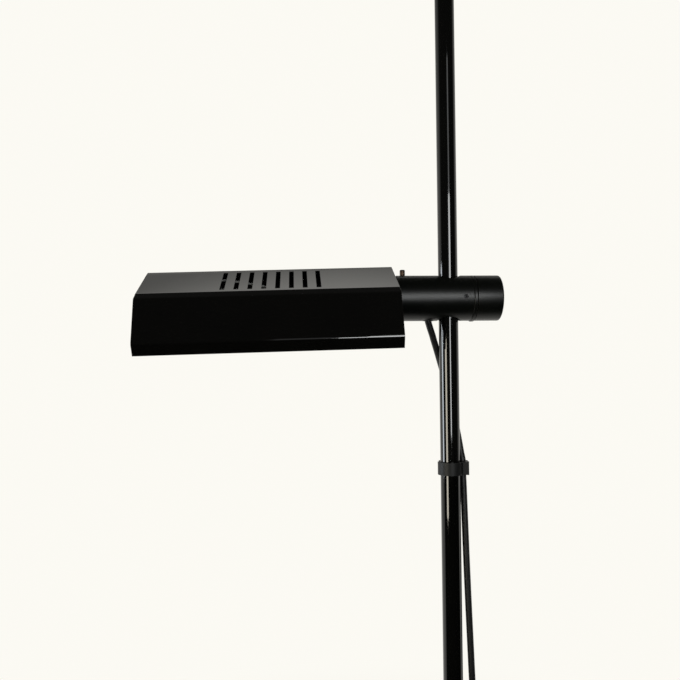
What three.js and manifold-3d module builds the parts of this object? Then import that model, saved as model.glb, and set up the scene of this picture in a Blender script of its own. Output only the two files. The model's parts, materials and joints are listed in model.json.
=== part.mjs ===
// A reading floor lamp: a round pole on a heavy disc, and a linear halogen head on a short
// horizontal arm that slides up and down the pole, turns around it, and is clamped by the knob at
// the arm's end. The shade is folded from one sheet and turns on a hollow spindle in the arm. The
// flex leaves the arm's underside, runs behind the pole through two clips to a foot switch on the
// floor, and ends in a tied coil and a flat plug.
//
// Millimetres, +Z up. The origin is on the pole's axis, on the floor. The arm lies along X with
// the shade towards -X, and -Y is the front.

import * as THREE from 'three';
import { mergeVertices } from 'three/addons/utils/BufferGeometryUtils.js';
import Module from 'manifold-3d';

const wasm = await Module();
wasm.setup();

// ---------------------------------------------------------------- driving dimensions

const SEAT_GAP = 0.3; // between two pieces that rest on or sit in one another
const FACETS_LARGE = 56;
const FACETS = 32;
const FACETS_SMALL = 16;

// stand
const PAD_RADIUS = 134;
const PAD_THICKNESS = 2;
const BASE_RADIUS = 140;
const BASE_THICKNESS = 16;
const BASE_CHAMFER = 1.5;
const BOLT_RADIUS = 4.7;
const BOLT_HEAD_RADIUS = 8;
const BOLT_HEAD_HEIGHT = 6.4;
const BOLT_LENGTH = 34;
const POLE_RADIUS = 10;
const POLE_WALL = 1.5;
const POLE_SEAM_HEIGHT = 830;
const POLE_TOP = 1790;
const FOOT_PLUG_LENGTH = 36;
const JOINER_LENGTH = 70;
const CAP_THICKNESS = 3;
const CAP_SPIGOT_LENGTH = 12;

// arm
const ARM_HEIGHT = 1250;
const ARM_RADIUS = 23.37;
const ARM_WALL = 2;
const ARM_LEFT = -53.9;
const ARM_RIGHT = 23.3;
const POLE_HOLE_RADIUS = 12.5;
const BUSH_WALL = 1.9;
const BUSH_INNER_END = 8.3;
const BUSH_HEIGHT = 8.3;
const BLOCK_LEFT = -17.6;
const BLOCK_RIGHT = 17.6;
const BLOCK_BORE_CLEARANCE = 0.5;
const BLOCK_SCREW_X = 13.3;
const BLOCK_SCREW_RADIUS = 2;
const BLOCK_SCREW_DEPTH = 0.8;
const BLOCK_SCREW_LENGTH = 6.5;

// clamp
const SHOE_HALF = 6.5;
const SHOE_RIGHT = 16.2;
const SHOE_WEB = 1.3;
const SHOE_TRAVEL = 1.25;
const CLAMP_SCREW_RADIUS = 4;
const COLLAR_RADIUS = 8;
const COLLAR_LEFT = 18.2;
const COLLAR_THICKNESS = 2.6;
const NOSE_RADIUS = 10;
const NOSE_LENGTH = 2.1;
const WASHER_RADIUS = 23.5;
const WASHER_THICKNESS = 2.1;
const WASHER_SAG = 0.4; // the loose washer hangs this much low on its nose
const KNOB_LENGTH = 26.2;
const KNOB_WALL = 2.2;
const KNOB_END_WALL = 3;
const KNOB_ROUNDING = 1.6;
const HUB_RADIUS = 8;
const HUB_BORE_DEPTH = 14;

// spindle between arm and shade
const HEAD_PIVOT_X = -47.9;
const HEAD_DROOP = 1.29; // degrees that the shade's free end sags, by the play in its bearing
const HEAD_TILT = 25.94; // degrees that the top leans to the front
const SPINDLE_RADIUS = 6.5;
const SPINDLE_BORE_RADIUS = 3.5;
const SPINDLE_PLAY = 0.5;
const SPINDLE_GROOVE_RADIUS = 5.1;
const SPINDLE_GROOVE_HALF = 2.3;
const SPINDLE_RIGHT = 6;
const BEARING_LEFT = -3.3;
const BEARING_RIGHT = 5.7;
const FLANGE_RADIUS = 10;
const FLANGE_THICKNESS = 1.6;
const FRICTION_WASHER_THICKNESS = 0.8;
const SPINDLE_NUT_RADIUS = 10;
const SPINDLE_NUT_HEIGHT = 5;
const STUD_RADIUS = 2.65;
const STUD_HEIGHT = 6;
const STUD_SHANK_RADIUS = 1.6;

// cord and what holds it in the arm
const CORD_RADIUS = 3.4;
const CORD_SIDES = 8;
const CORD_HOLE_X = -21.3;
const CORD_HOLE_RADIUS = 5.7;
const GROMMET_WALL = 1;
const GRIP_THICKNESS = 2.4;
const GRIP_HALF_WIDTH = 11;
const GRIP_LOW = -16;
const GRIP_HIGH = -9;
const GRIP_X = -25.7;
const GRIP_SCREW_Y = 7.5;
const GRIP_SCREW_RADIUS = 1.4;
const TERMINAL_LENGTH = 9.6;
const TERMINAL_HALF_WIDTH = 9;
const TERMINAL_LOW = -5;
const TERMINAL_HIGH = 6;

// clips that hold the cord to the pole
const CLIP_DROP = 167.5; // from the arm's axis down to the upper clip's top
const CLIP_HEIGHT = 13.1;
const CLIP_WALL = 2.6;
const CLIP_CORD_PLAY = 0.9;
const CLIP_CORD_X = 13.62;
const CLIP_CORD_Y = 3.79;
const CLIP_LOOP_WALL = 1.3;
const CLIP_THROAT = 4;
const CLIP_SNAP_GAP = 7;
const CLIP_SNAP_TURN = 70; // of the opening at the back, from straight behind
const CLIP_LUG_REACH = 18.9;
const CLIP_LUG_FRONT = -3.4;
const CLIP_LUG_BACK = 3;
const CLIP_LUG_TURN = -12.3;
const LOW_CLIP_HEIGHT = 64;
const LOW_CLIP_TURN = 50;

// shade, from the top's outer face down
const SHADE_NEAR = -6.93; // from the spindle's centre to the shade's near end
const SHADE_LENGTH = 254.9;
const SHADE_WALL = 1;
const SHADE_TOP = 22.5; // above the spindle's axis
const SHADE_TOP_HALF = 36.36;
const SHADE_BOTTOM_HALF = 68.94;
const SHADE_SLOPE_HEIGHT = 32.75;
const SHADE_RIM_HEIGHT = 13.46;
const TOP_FOLD_RADIUS = 8;
const RIM_FOLD_RADIUS = 3;
const FOLD_STEPS = 4;
const END_PLATE = 1.5;
const SLOT_COUNT = 8;
const SLOT_PITCH = 13.72;
const SLOT_WIDTH = 3.7;
const SLOT_FRONT = -20;
const SLOT_BACK = 28.4;

// lamp and optics
const LAMP_LENGTH = 117.6;
const LAMP_RADIUS = 5;
const LAMP_PINCH_RADIUS = 2.6;
const LAMP_CAP_RADIUS = 3.8;
const LAMP_CAP_LENGTH = 9;
const LAMP_AXIS_HEIGHT = -1;
const HOLDER_LENGTH = 16;
const HOLDER_HALF_WIDTH = 8.5;
const HOLDER_LOW = -8.5; // below the lamp's axis
const HOLDER_RECESS = 3;
const STEM_RADIUS = 3;
const STEM_LENGTH = 6;
const CONTACT_RADIUS = 2.2;
const CONTACT_LENGTH = 8;
const REFLECTOR_WALL = 0.8;
const REFLECTOR_TOP = 11.5;
const REFLECTOR_TOP_HALF = 34;
const REFLECTOR_BOTTOM_HALF = 58;
const REFLECTOR_BOTTOM = -13;
const REFLECTOR_FOLD_RADIUS = 2;
const REFLECTOR_END_SPACE = 15; // from the end plate's inner face
const BRACKET_WALL = 1.2;
const BRACKET_FLANGE = 12;
const BRACKET_HALF_WIDTH = 12;
const GLASS_THICKNESS = 3;
const GLASS_TOP = -15.2;
const GLASS_SIDE_SPACE = 1.6;
const RAIL_WALL = 0.8;
const RAIL_FOOT = 6;
const RAIL_HEIGHT = 6.5;
const LEAD_RADIUS = 1.4;

// foot switch
const SWITCH_X = -76;
const SWITCH_Y = 200;
const SWITCH_HALF_LENGTH = 42;
const SWITCH_HALF_WIDTH = 22;
const SWITCH_CORNER = 12;
const SWITCH_HEIGHT = 24;
const SWITCH_BASE_THICKNESS = 3;
const SWITCH_WALL = 2;
const SWITCH_NOZZLE_LENGTH = 20;
const SWITCH_NOZZLE_RADIUS = 5.2;
const BUTTON_RADIUS = 12;
const BUTTON_HEIGHT = 9;
const BUTTON_PROUD = 5;
const BUTTON_FLANGE = 2;
const SPRING_RADIUS = 6;
const SPRING_WIRE = 0.7;
const SPRING_TURNS = 4;

// coil, tie and plug
const COIL_X = -180;
const COIL_MEAN_RADIUS = 36;
const COIL_COLUMNS = 4;
const COIL_LAYERS = 2;
const COIL_LIFT = 1.4;
const TIE_THICKNESS = 0.8;
const TIE_HALF_WIDTH = 3;
const PLUG_HALF_WIDTH = 17.5;
const PLUG_HALF_HEIGHT = 6.8;
const PLUG_LENGTH = 34;
const PLUG_RELIEF_LENGTH = 20;
const PLUG_RELIEF_RADIUS = 4.8;
const PLUG_TAPER = 9;
const PIN_RADIUS = 2;
const PIN_SPACING = 18.6;
const PIN_LENGTH = 19;
const PIN_SOCKET = 8;

// ---------------------------------------------------------------- materials

function finish(color, roughness, metalness) {
  return new THREE.MeshStandardMaterial({ color, roughness, metalness });
}

const glossBlack = finish(0x0b0b0a, 0.15, 0.1);
const satinBlack = finish(0x1a1c1a, 0.5, 0.1);
const blackPlastic = finish(0x1d1f20, 0.6, 0);
const cordBlack = finish(0x141414, 0.5, 0);
const rubber = finish(0x151515, 0.9, 0);
const steel = finish(0xb4b4b0, 0.35, 1);
const castIron = finish(0x1c1c1c, 0.5, 0.4);
const brass = finish(0x8a5a38, 0.4, 1);
const aluminium = finish(0xd2d3d4, 0.25, 1);
const nylon = finish(0x2a2a2a, 0.6, 0);
const ceramic = finish(0xe9e4da, 0.6, 0);
const quartz = finish(0xe8f0f2, 0.05, 0);
const clearGlass = finish(0xdfeae6, 0.05, 0);
const silicone = finish(0xb9bab6, 0.6, 0);

// ---------------------------------------------------------------- shape helpers

// A three.js geometry as a solid. A profile may be listed in either direction: a surface that
// comes out facing inwards is turned round.
function solid(geometry) {
  const bare = geometry.clone();
  bare.deleteAttribute('normal');
  bare.deleteAttribute('uv');
  const merged = mergeVertices(bare, 1e-4);
  const place = merged.getAttribute('position');
  const corner = merged.index.array;
  const kept = [];
  for (let i = 0; i < corner.length; i += 3) {
    const [a, b, c] = [corner[i], corner[i + 1], corner[i + 2]];
    if (a !== b && b !== c && a !== c) kept.push(a, b, c);
  }
  const points = [0, 1, 2].map(() => new THREE.Vector3());
  let volume = 0;
  for (let i = 0; i < kept.length; i += 3) {
    points.forEach((p, k) => p.fromBufferAttribute(place, kept[i + k]));
    volume += points[0].dot(points[1].clone().cross(points[2]));
  }
  if (volume < 0) kept.reverse();
  return new wasm.Manifold(
    new wasm.Mesh({
      numProp: 3,
      vertProperties: new Float32Array(place.array),
      triVerts: new Uint32Array(kept),
    }),
  );
}

function geometryOf(body) {
  const mesh = body.getMesh();
  const place = new Float32Array(mesh.numVert * 3);
  for (let i = 0; i < mesh.numVert; i++) {
    const from = i * mesh.numProp;
    place.set(mesh.vertProperties.subarray(from, from + 3), i * 3);
  }
  const geometry = new THREE.BufferGeometry();
  geometry.setAttribute('position', new THREE.BufferAttribute(place, 3));
  geometry.setIndex(new THREE.BufferAttribute(new Uint32Array(mesh.triVerts), 1));
  geometry.computeVertexNormals();
  return geometry;
}

function put(group, name, body, material) {
  const mesh = new THREE.Mesh(geometryOf(body), material);
  mesh.name = name;
  group.add(mesh);
}

// Turns a geometry made along +Y so that it lies along the given axis.
const ALONG = {
  x: new THREE.Matrix4().makeRotationZ(-Math.PI / 2),
  y: new THREE.Matrix4(),
  z: new THREE.Matrix4().makeRotationX(Math.PI / 2),
};

// A turned piece: [radius, place along the axis] points, from axis to axis or closed on itself.
function turned(axis, profile, facets = FACETS) {
  const onAxis = profile[0][0] === 0 && profile.at(-1)[0] === 0;
  const outline = onAxis ? profile : [...profile, profile[0]];
  const points = outline.map(([r, along]) => new THREE.Vector2(r, along));
  return solid(new THREE.LatheGeometry(points, facets).applyMatrix4(ALONG[axis]));
}

function drum(axis, radius, from, to, facets = FACETS) {
  return turned(axis, [[0, from], [radius, from], [radius, to], [0, to]], facets);
}

function ring(axis, inner, outer, from, to, facets = FACETS) {
  return turned(axis, [[inner, from], [outer, from], [outer, to], [inner, to]], facets);
}

function block(x0, x1, y0, y1, z0, z1) {
  const box = new THREE.BoxGeometry(x1 - x0, y1 - y0, z1 - z0);
  return solid(box.translate((x0 + x1) / 2, (y0 + y1) / 2, (z0 + z1) / 2));
}

// An outline in (y, z) drawn out along X.
function prismX(outline, x0, x1) {
  const shape = new THREE.Shape(outline.map(([y, z]) => new THREE.Vector2(y, z)));
  const drawn = new THREE.ExtrudeGeometry(shape, { depth: x1 - x0, bevelEnabled: false });
  const turn = new THREE.Matrix4().makeBasis(
    new THREE.Vector3(0, 1, 0),
    new THREE.Vector3(0, 0, 1),
    new THREE.Vector3(1, 0, 0),
  );
  return solid(drawn.applyMatrix4(turn).translate(x0, 0, 0));
}

// A rounded rectangle in (x, y), drawn up along Z.
function roundedSlab(halfX, halfY, corner, z0, z1) {
  const shape = new THREE.Shape();
  shape.moveTo(-halfX + corner, -halfY);
  shape.lineTo(halfX - corner, -halfY);
  shape.absarc(halfX - corner, -halfY + corner, corner, -Math.PI / 2, 0);
  shape.lineTo(halfX, halfY - corner);
  shape.absarc(halfX - corner, halfY - corner, corner, 0, Math.PI / 2);
  shape.lineTo(-halfX + corner, halfY);
  shape.absarc(-halfX + corner, halfY - corner, corner, Math.PI / 2, Math.PI);
  shape.lineTo(-halfX, -halfY + corner);
  shape.absarc(-halfX + corner, -halfY + corner, corner, Math.PI, Math.PI * 1.5);
  const drawn = { depth: z1 - z0, bevelEnabled: false, curveSegments: 5 };
  return solid(new THREE.ExtrudeGeometry(shape, drawn).translate(0, 0, z0));
}

// A round rod or cord along a smooth curve through the given points.
function rod(points, radius, steps, sides = CORD_SIDES, tension = 0.5) {
  const path = new THREE.CatmullRomCurve3(
    points.map((p) => new THREE.Vector3(...p)),
    false,
    'catmullrom',
    tension,
  );
  const section = new THREE.Shape();
  for (let i = 0; i < sides; i++) {
    const turn = (i / sides) * 2 * Math.PI;
    const [a, b] = [radius * Math.cos(turn), radius * Math.sin(turn)];
    if (i === 0) section.moveTo(a, b);
    else section.lineTo(a, b);
  }
  return solid(new THREE.ExtrudeGeometry(section, { steps, extrudePath: path }));
}

// The outline of a sheet folded over the given corners, which lie on its outer face from left to
// right. Each fold is an arc of its own outer radius.
function foldedSheet(corners, radii, wall) {
  const outer = [];
  const inner = [];
  const direction = (a, b) => {
    const length = Math.hypot(b[0] - a[0], b[1] - a[1]);
    return [(b[0] - a[0]) / length, (b[1] - a[1]) / length];
  };
  const inward = ([dy, dz]) => [dz, -dy];
  const add = (point, normal, radius) => {
    outer.push([point[0] - radius * normal[0], point[1] - radius * normal[1]]);
    const left = radius - wall;
    inner.push([point[0] - left * normal[0], point[1] - left * normal[1]]);
  };
  corners.forEach((corner, i) => {
    const before = i > 0 ? direction(corners[i - 1], corner) : null;
    const after = i < corners.length - 1 ? direction(corner, corners[i + 1]) : null;
    if (!before || !after) {
      add(corner, inward(before ?? after), 0);
      return;
    }
    const cross = before[0] * after[1] - before[1] * after[0];
    const turn = Math.atan2(cross, before[0] * after[0] + before[1] * after[1]);
    const radius = radii[i - 1];
    const back = radius * Math.tan(Math.abs(turn) / 2);
    const normal = inward(before);
    const centre = [
      corner[0] - back * before[0] + radius * normal[0],
      corner[1] - back * before[1] + radius * normal[1],
    ];
    for (let k = 0; k <= FOLD_STEPS; k++) {
      const angle = (turn * k) / FOLD_STEPS;
      const [c, s] = [Math.cos(angle), Math.sin(angle)];
      add(centre, [normal[0] * c - normal[1] * s, normal[0] * s + normal[1] * c], radius);
    }
  });
  return [...outer, ...inner.reverse()];
}

// ---------------------------------------------------------------- groups

const lamp = new THREE.Group();
const arm = new THREE.Group();
arm.position.z = ARM_HEIGHT;
lamp.add(arm);
// The spindle droops in its bearing first, and the shade then turns about the drooped spindle.
const droop = new THREE.Group();
droop.position.x = HEAD_PIVOT_X;
droop.rotation.y = THREE.MathUtils.degToRad(-HEAD_DROOP);
arm.add(droop);
const head = new THREE.Group();
head.rotation.x = THREE.MathUtils.degToRad(HEAD_TILT);
droop.add(head);

// ---------------------------------------------------------------- stand

const baseBottom = PAD_THICKNESS + SEAT_GAP;
const baseTop = baseBottom + BASE_THICKNESS;
const poleInner = POLE_RADIUS - POLE_WALL;
const plugRadius = poleInner - SEAT_GAP;
const footPlugBottom = baseTop + SEAT_GAP;
const footPlugRim = 3;
const poleBottom = footPlugBottom + footPlugRim + SEAT_GAP;
const boltHeadSeat = baseBottom + BOLT_HEAD_HEIGHT + 2 * SEAT_GAP;

function basePlate() {
  const disc = turned(
    'z',
    [
      [0, baseBottom],
      [BASE_RADIUS - BASE_CHAMFER, baseBottom],
      [BASE_RADIUS, baseBottom + BASE_CHAMFER],
      [BASE_RADIUS, baseTop - BASE_CHAMFER],
      [BASE_RADIUS - BASE_CHAMFER, baseTop],
      [0, baseTop],
    ],
    FACETS_LARGE,
  );
  const clearance = 2 * SEAT_GAP;
  return disc
    .subtract(drum('z', BOLT_RADIUS + clearance, baseBottom - 1, baseTop + 1))
    .subtract(drum('z', BOLT_HEAD_RADIUS + clearance, baseBottom - 1, boltHeadSeat));
}

function baseBolt() {
  const headBottom = baseBottom + SEAT_GAP;
  const headTop = headBottom + BOLT_HEAD_HEIGHT;
  const shank = drum('z', BOLT_RADIUS, headTop, headTop + BOLT_LENGTH);
  const key = drum('z', BOLT_HEAD_RADIUS / 2, headBottom - 1, headBottom + BOLT_HEAD_HEIGHT / 2, 6);
  return shank.add(drum('z', BOLT_HEAD_RADIUS, headBottom, headTop)).subtract(key);
}

function poleFoot() {
  const body = drum('z', plugRadius, footPlugBottom, footPlugBottom + FOOT_PLUG_LENGTH);
  const rim = drum('z', POLE_RADIUS, footPlugBottom, footPlugBottom + footPlugRim);
  const bore = drum('z', BOLT_RADIUS + SEAT_GAP, 0, footPlugBottom + FOOT_PLUG_LENGTH - 2);
  return body.add(rim).subtract(bore);
}

function poleCap() {
  const bottom = POLE_TOP + SEAT_GAP;
  const rounding = CAP_THICKNESS / 3;
  return turned('z', [
    [0, bottom - CAP_SPIGOT_LENGTH],
    [plugRadius, bottom - CAP_SPIGOT_LENGTH],
    [plugRadius, bottom],
    [POLE_RADIUS, bottom],
    [POLE_RADIUS, bottom + CAP_THICKNESS - rounding],
    [POLE_RADIUS - rounding, bottom + CAP_THICKNESS],
    [0, bottom + CAP_THICKNESS],
  ]);
}

const seamTop = POLE_SEAM_HEIGHT + SEAT_GAP;
const joinerHalf = JOINER_LENGTH / 2;
put(lamp, 'foot_pad', drum('z', PAD_RADIUS, 0, PAD_THICKNESS, FACETS_LARGE), rubber);
put(lamp, 'base_plate', basePlate(), castIron);
put(lamp, 'base_bolt', baseBolt(), steel);
put(lamp, 'pole_foot', poleFoot(), steel);
put(lamp, 'pole_lower', ring('z', poleInner, POLE_RADIUS, poleBottom, POLE_SEAM_HEIGHT), glossBlack);
put(
  lamp,
  'pole_joiner',
  drum('z', plugRadius, POLE_SEAM_HEIGHT - joinerHalf, POLE_SEAM_HEIGHT + joinerHalf),
  steel,
);
put(lamp, 'pole_upper', ring('z', poleInner, POLE_RADIUS, seamTop, POLE_TOP), glossBlack);
put(lamp, 'pole_cap', poleCap(), glossBlack);

// ---------------------------------------------------------------- cord clips

// A band that snaps round the pole, with a loop for the cord and a thumb lug beside it. The
// cord lies against the pole, so that the band's opening and the loop's are one.
function cordClip(top) {
  const bottom = top - CLIP_HEIGHT;
  const poleHole = POLE_RADIUS + SEAT_GAP;
  const cordHole = CORD_RADIUS + CLIP_CORD_PLAY;
  const cordDistance = Math.hypot(CLIP_CORD_X, CLIP_CORD_Y);
  const cordTurn = THREE.MathUtils.radToDeg(Math.atan2(CLIP_CORD_Y, CLIP_CORD_X));
  const atCord = (body) => body.translate(CLIP_CORD_X, CLIP_CORD_Y, 0);
  const through = [bottom - 1, top + 1];
  const band = drum('z', poleHole + CLIP_WALL, bottom, top, 40);
  const loop = atCord(drum('z', cordHole + CLIP_LOOP_WALL, bottom, top, 24));
  const lug = block(POLE_RADIUS, CLIP_LUG_REACH, CLIP_LUG_FRONT, CLIP_LUG_BACK, bottom, top);
  const throat = block(POLE_RADIUS / 2, cordDistance, -CLIP_THROAT / 2, CLIP_THROAT / 2, ...through);
  const snap = block(-CLIP_SNAP_GAP / 2, CLIP_SNAP_GAP / 2, 0, 2 * POLE_RADIUS, ...through);
  return band
    .add(loop)
    .add(lug.rotate(0, 0, CLIP_LUG_TURN))
    .subtract(drum('z', poleHole, ...through, 40))
    .subtract(atCord(drum('z', cordHole, ...through, 24)))
    .subtract(throat.rotate(0, 0, cordTurn))
    .subtract(snap.rotate(0, 0, CLIP_SNAP_TURN));
}

put(lamp, 'cable_clip_upper', cordClip(ARM_HEIGHT - CLIP_DROP), blackPlastic);
const lowClip = cordClip(LOW_CLIP_HEIGHT + CLIP_HEIGHT).rotate(0, 0, LOW_CLIP_TURN);
put(lamp, 'cable_clip_lower', lowClip, blackPlastic);

// ---------------------------------------------------------------- arm

const armInner = ARM_RADIUS - ARM_WALL;
const armFit = armInner - SEAT_GAP - 0.02;
const blockScrewTop = ARM_RADIUS - BLOCK_SCREW_DEPTH;
const studSeat = ARM_RADIUS + SEAT_GAP;
const studTip = SPINDLE_GROOVE_RADIUS + 2 * SEAT_GAP;
const studHoleRadius = STUD_SHANK_RADIUS + SEAT_GAP;
const bearingBore = SPINDLE_RADIUS + SPINDLE_PLAY;

function armTube() {
  const screwHole = drum('y', BLOCK_SCREW_RADIUS + SEAT_GAP, -ARM_RADIUS - 1, 0, FACETS_SMALL);
  const studHole = drum('z', studHoleRadius, 0, ARM_RADIUS + 1, FACETS_SMALL);
  const cordHole = drum('z', CORD_HOLE_RADIUS, -ARM_RADIUS - 1, 0);
  return ring('x', armInner, ARM_RADIUS, ARM_LEFT, ARM_RIGHT, FACETS_LARGE)
    .subtract(drum('z', POLE_HOLE_RADIUS, -ARM_RADIUS - 1, ARM_RADIUS + 1))
    .subtract(cordHole.translate(CORD_HOLE_X, 0, 0))
    .subtract(studHole.translate(HEAD_PIVOT_X, 0, 0))
    .subtract(screwHole.translate(BLOCK_SCREW_X, 0, 0));
}

function spindleBearing() {
  const left = HEAD_PIVOT_X + BEARING_LEFT;
  const right = HEAD_PIVOT_X + BEARING_RIGHT;
  const hole = drum('z', studHoleRadius, 0, ARM_RADIUS, FACETS_SMALL);
  return ring('x', bearingBore, armFit, left, right, FACETS_LARGE).subtract(
    hole.translate(HEAD_PIVOT_X, 0, 0),
  );
}

// The retaining screw: its head stands on the arm and its tip runs in the spindle's groove.
function spindleScrew() {
  const top = studSeat + STUD_HEIGHT - SEAT_GAP;
  const rounding = STUD_RADIUS / 4;
  const profile = [
    [0, studTip],
    [STUD_SHANK_RADIUS, studTip],
    [STUD_SHANK_RADIUS, studSeat],
    [STUD_RADIUS, studSeat],
    [STUD_RADIUS, top - rounding],
    [STUD_RADIUS - rounding, top],
    [0, top],
  ];
  return turned('z', profile, 20).translate(HEAD_PIVOT_X, 0, 0);
}

const bushBore = POLE_RADIUS + SEAT_GAP;
const bushRadius = bushBore + BUSH_WALL;
const guideHalf = SHOE_HALF + SEAT_GAP;

// The block that carries the arm on the pole: cross-bored for the pole, counterbored for the two
// bushes, with a square guide for the clamp shoe and a tapped face for the cord grip.
function clampBlock() {
  const bushSeat = BUSH_INNER_END - SEAT_GAP;
  const screwHole = drum('y', BLOCK_SCREW_RADIUS + SEAT_GAP, -ARM_RADIUS, -guideHalf - 2, FACETS_SMALL);
  const gripHole = drum('x', GRIP_SCREW_RADIUS + SEAT_GAP, BLOCK_LEFT - 1, BLOCK_LEFT + 5, 12);
  const gripHeight = (GRIP_LOW + GRIP_HIGH) / 2;
  return drum('x', armFit, BLOCK_LEFT, BLOCK_RIGHT, FACETS_LARGE)
    .subtract(drum('z', POLE_RADIUS + BLOCK_BORE_CLEARANCE, -ARM_RADIUS, ARM_RADIUS))
    .subtract(drum('z', bushRadius + SEAT_GAP, bushSeat, ARM_RADIUS))
    .subtract(drum('z', bushRadius + SEAT_GAP, -ARM_RADIUS, -bushSeat))
    .subtract(block(0, BLOCK_RIGHT + 1, -guideHalf, guideHalf, -guideHalf, guideHalf))
    .subtract(screwHole.translate(BLOCK_SCREW_X, 0, 0))
    .subtract(gripHole.translate(0, GRIP_SCREW_Y, gripHeight))
    .subtract(gripHole.translate(0, -GRIP_SCREW_Y, gripHeight));
}

function blockScrew() {
  const body = drum('y', BLOCK_SCREW_RADIUS, -blockScrewTop, -blockScrewTop + BLOCK_SCREW_LENGTH, 16);
  const key = drum('y', BLOCK_SCREW_RADIUS * 0.6, -blockScrewTop - 1, -blockScrewTop + 2, 6);
  return body.subtract(key).translate(BLOCK_SCREW_X, 0, 0);
}

const collarRight = COLLAR_LEFT + COLLAR_THICKNESS;
const recessRight = collarRight + SEAT_GAP;
const noseRight = ARM_RIGHT + NOSE_LENGTH;
const screwBore = CLAMP_SCREW_RADIUS + SEAT_GAP;

// Closes the arm's end and holds the clamp screw's collar, so that the screw turns in place.
function endBearing() {
  const left = BLOCK_RIGHT + SEAT_GAP;
  return turned(
    'x',
    [
      [screwBore, recessRight],
      [COLLAR_RADIUS + SEAT_GAP, recessRight],
      [COLLAR_RADIUS + SEAT_GAP, left],
      [armFit, left],
      [armFit, ARM_RIGHT],
      [NOSE_RADIUS, ARM_RIGHT],
      [NOSE_RADIUS, noseRight],
      [screwBore, noseRight],
    ],
    FACETS_LARGE,
  );
}

const washerLeft = ARM_RIGHT + SEAT_GAP;
const washerRight = washerLeft + WASHER_THICKNESS;
const washerBore = NOSE_RADIUS + WASHER_SAG + SEAT_GAP + 0.1;

function grommet() {
  const outside = CORD_HOLE_RADIUS - SEAT_GAP;
  const sleeve = ring('z', outside - GROMMET_WALL, outside, -ARM_RADIUS - 1, -armInner, 24);
  const skin = drum('x', ARM_RADIUS + 0.2, ARM_LEFT, ARM_RIGHT, FACETS_LARGE);
  return sleeve.translate(CORD_HOLE_X, 0, 0).intersect(skin);
}

const gripLeft = GRIP_X - GRIP_THICKNESS;
const gripScrewHeight = (GRIP_LOW + GRIP_HIGH) / 2;

function cordGrip() {
  const hole = drum('x', GRIP_SCREW_RADIUS + SEAT_GAP, gripLeft - 1, GRIP_X + 1, 12);
  return block(gripLeft, GRIP_X, -GRIP_HALF_WIDTH, GRIP_HALF_WIDTH, GRIP_LOW, GRIP_HIGH)
    .subtract(hole.translate(0, GRIP_SCREW_Y, gripScrewHeight))
    .subtract(hole.translate(0, -GRIP_SCREW_Y, gripScrewHeight));
}

function gripScrew(side) {
  const seat = gripLeft - SEAT_GAP;
  const headHeight = 2;
  const profile = [
    [0, seat - headHeight],
    [2 * GRIP_SCREW_RADIUS, seat - headHeight],
    [2 * GRIP_SCREW_RADIUS, seat],
    [GRIP_SCREW_RADIUS, seat],
    [GRIP_SCREW_RADIUS, BLOCK_LEFT + 4],
    [0, BLOCK_LEFT + 4],
  ];
  return turned('x', profile, 12).translate(0, side * GRIP_SCREW_Y, gripScrewHeight);
}

function terminalBlock() {
  const right = BLOCK_LEFT - SEAT_GAP;
  const left = right - TERMINAL_LENGTH;
  const middle = (TERMINAL_LOW + TERMINAL_HIGH) / 2;
  let body = block(left, right, -TERMINAL_HALF_WIDTH, TERMINAL_HALF_WIDTH, TERMINAL_LOW, TERMINAL_HIGH);
  for (const side of [-1, 1]) {
    const y = (side * TERMINAL_HALF_WIDTH) / 2;
    const wireWay = drum('z', 1.6, TERMINAL_LOW - 1, middle, 10);
    const outWay = drum('x', 1.6, left - 1, (left + right) / 2, 10);
    body = body.subtract(wireWay.translate((left + right) / 2, y, 0));
    body = body.subtract(outWay.translate(0, y, middle + 2));
  }
  return body;
}

put(arm, 'arm_tube', armTube(), satinBlack);
put(arm, 'spindle_bearing', spindleBearing(), aluminium);
put(arm, 'spindle_screw', spindleScrew(), brass);
put(arm, 'clamp_block', clampBlock(), aluminium);
put(arm, 'block_screw', blockScrew(), steel);
put(arm, 'end_bearing', endBearing(), aluminium);
put(
  arm,
  'knob_washer',
  ring('x', washerBore, WASHER_RADIUS, washerLeft, washerRight, FACETS_LARGE).translate(0, 0, -WASHER_SAG),
  satinBlack,
);
put(arm, 'cord_grommet', grommet(), rubber);
put(arm, 'cord_grip', cordGrip(), nylon);
put(arm, 'grip_screw_front', gripScrew(-1), steel);
put(arm, 'grip_screw_back', gripScrew(1), steel);
put(arm, 'terminal_block', terminalBlock(), ceramic);

// The bushes run on the pole in the block's counterbores, above and below the clamp shoe.
const bush = ring('z', bushBore, bushRadius, BUSH_INNER_END, BUSH_INNER_END + BUSH_HEIGHT);
put(arm, 'bush_upper', bush, nylon);
put(arm, 'bush_lower', bush.mirror([0, 0, 1]), nylon);

// ---------------------------------------------------------------- clamp

const shoeFace = POLE_RADIUS + SEAT_GAP;
const shoeBoreBottom = shoeFace + SHOE_WEB;
const knobLeft = washerRight + SEAT_GAP;
const knobRight = knobLeft + KNOB_LENGTH;
const hubLeft = Math.max(knobLeft, noseRight + SEAT_GAP);
const hubBoreRight = hubLeft + HUB_BORE_DEPTH;

// The shoe cannot turn in its square guide, so the captive screw drives it along.
function clampShoe() {
  const body = block(0, SHOE_RIGHT, -SHOE_HALF, SHOE_HALF, -SHOE_HALF, SHOE_HALF);
  return body
    .subtract(drum('z', shoeFace, -POLE_RADIUS, POLE_RADIUS, 64))
    .subtract(drum('x', screwBore, shoeBoreBottom, SHOE_RIGHT + 1, 24));
}

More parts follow.
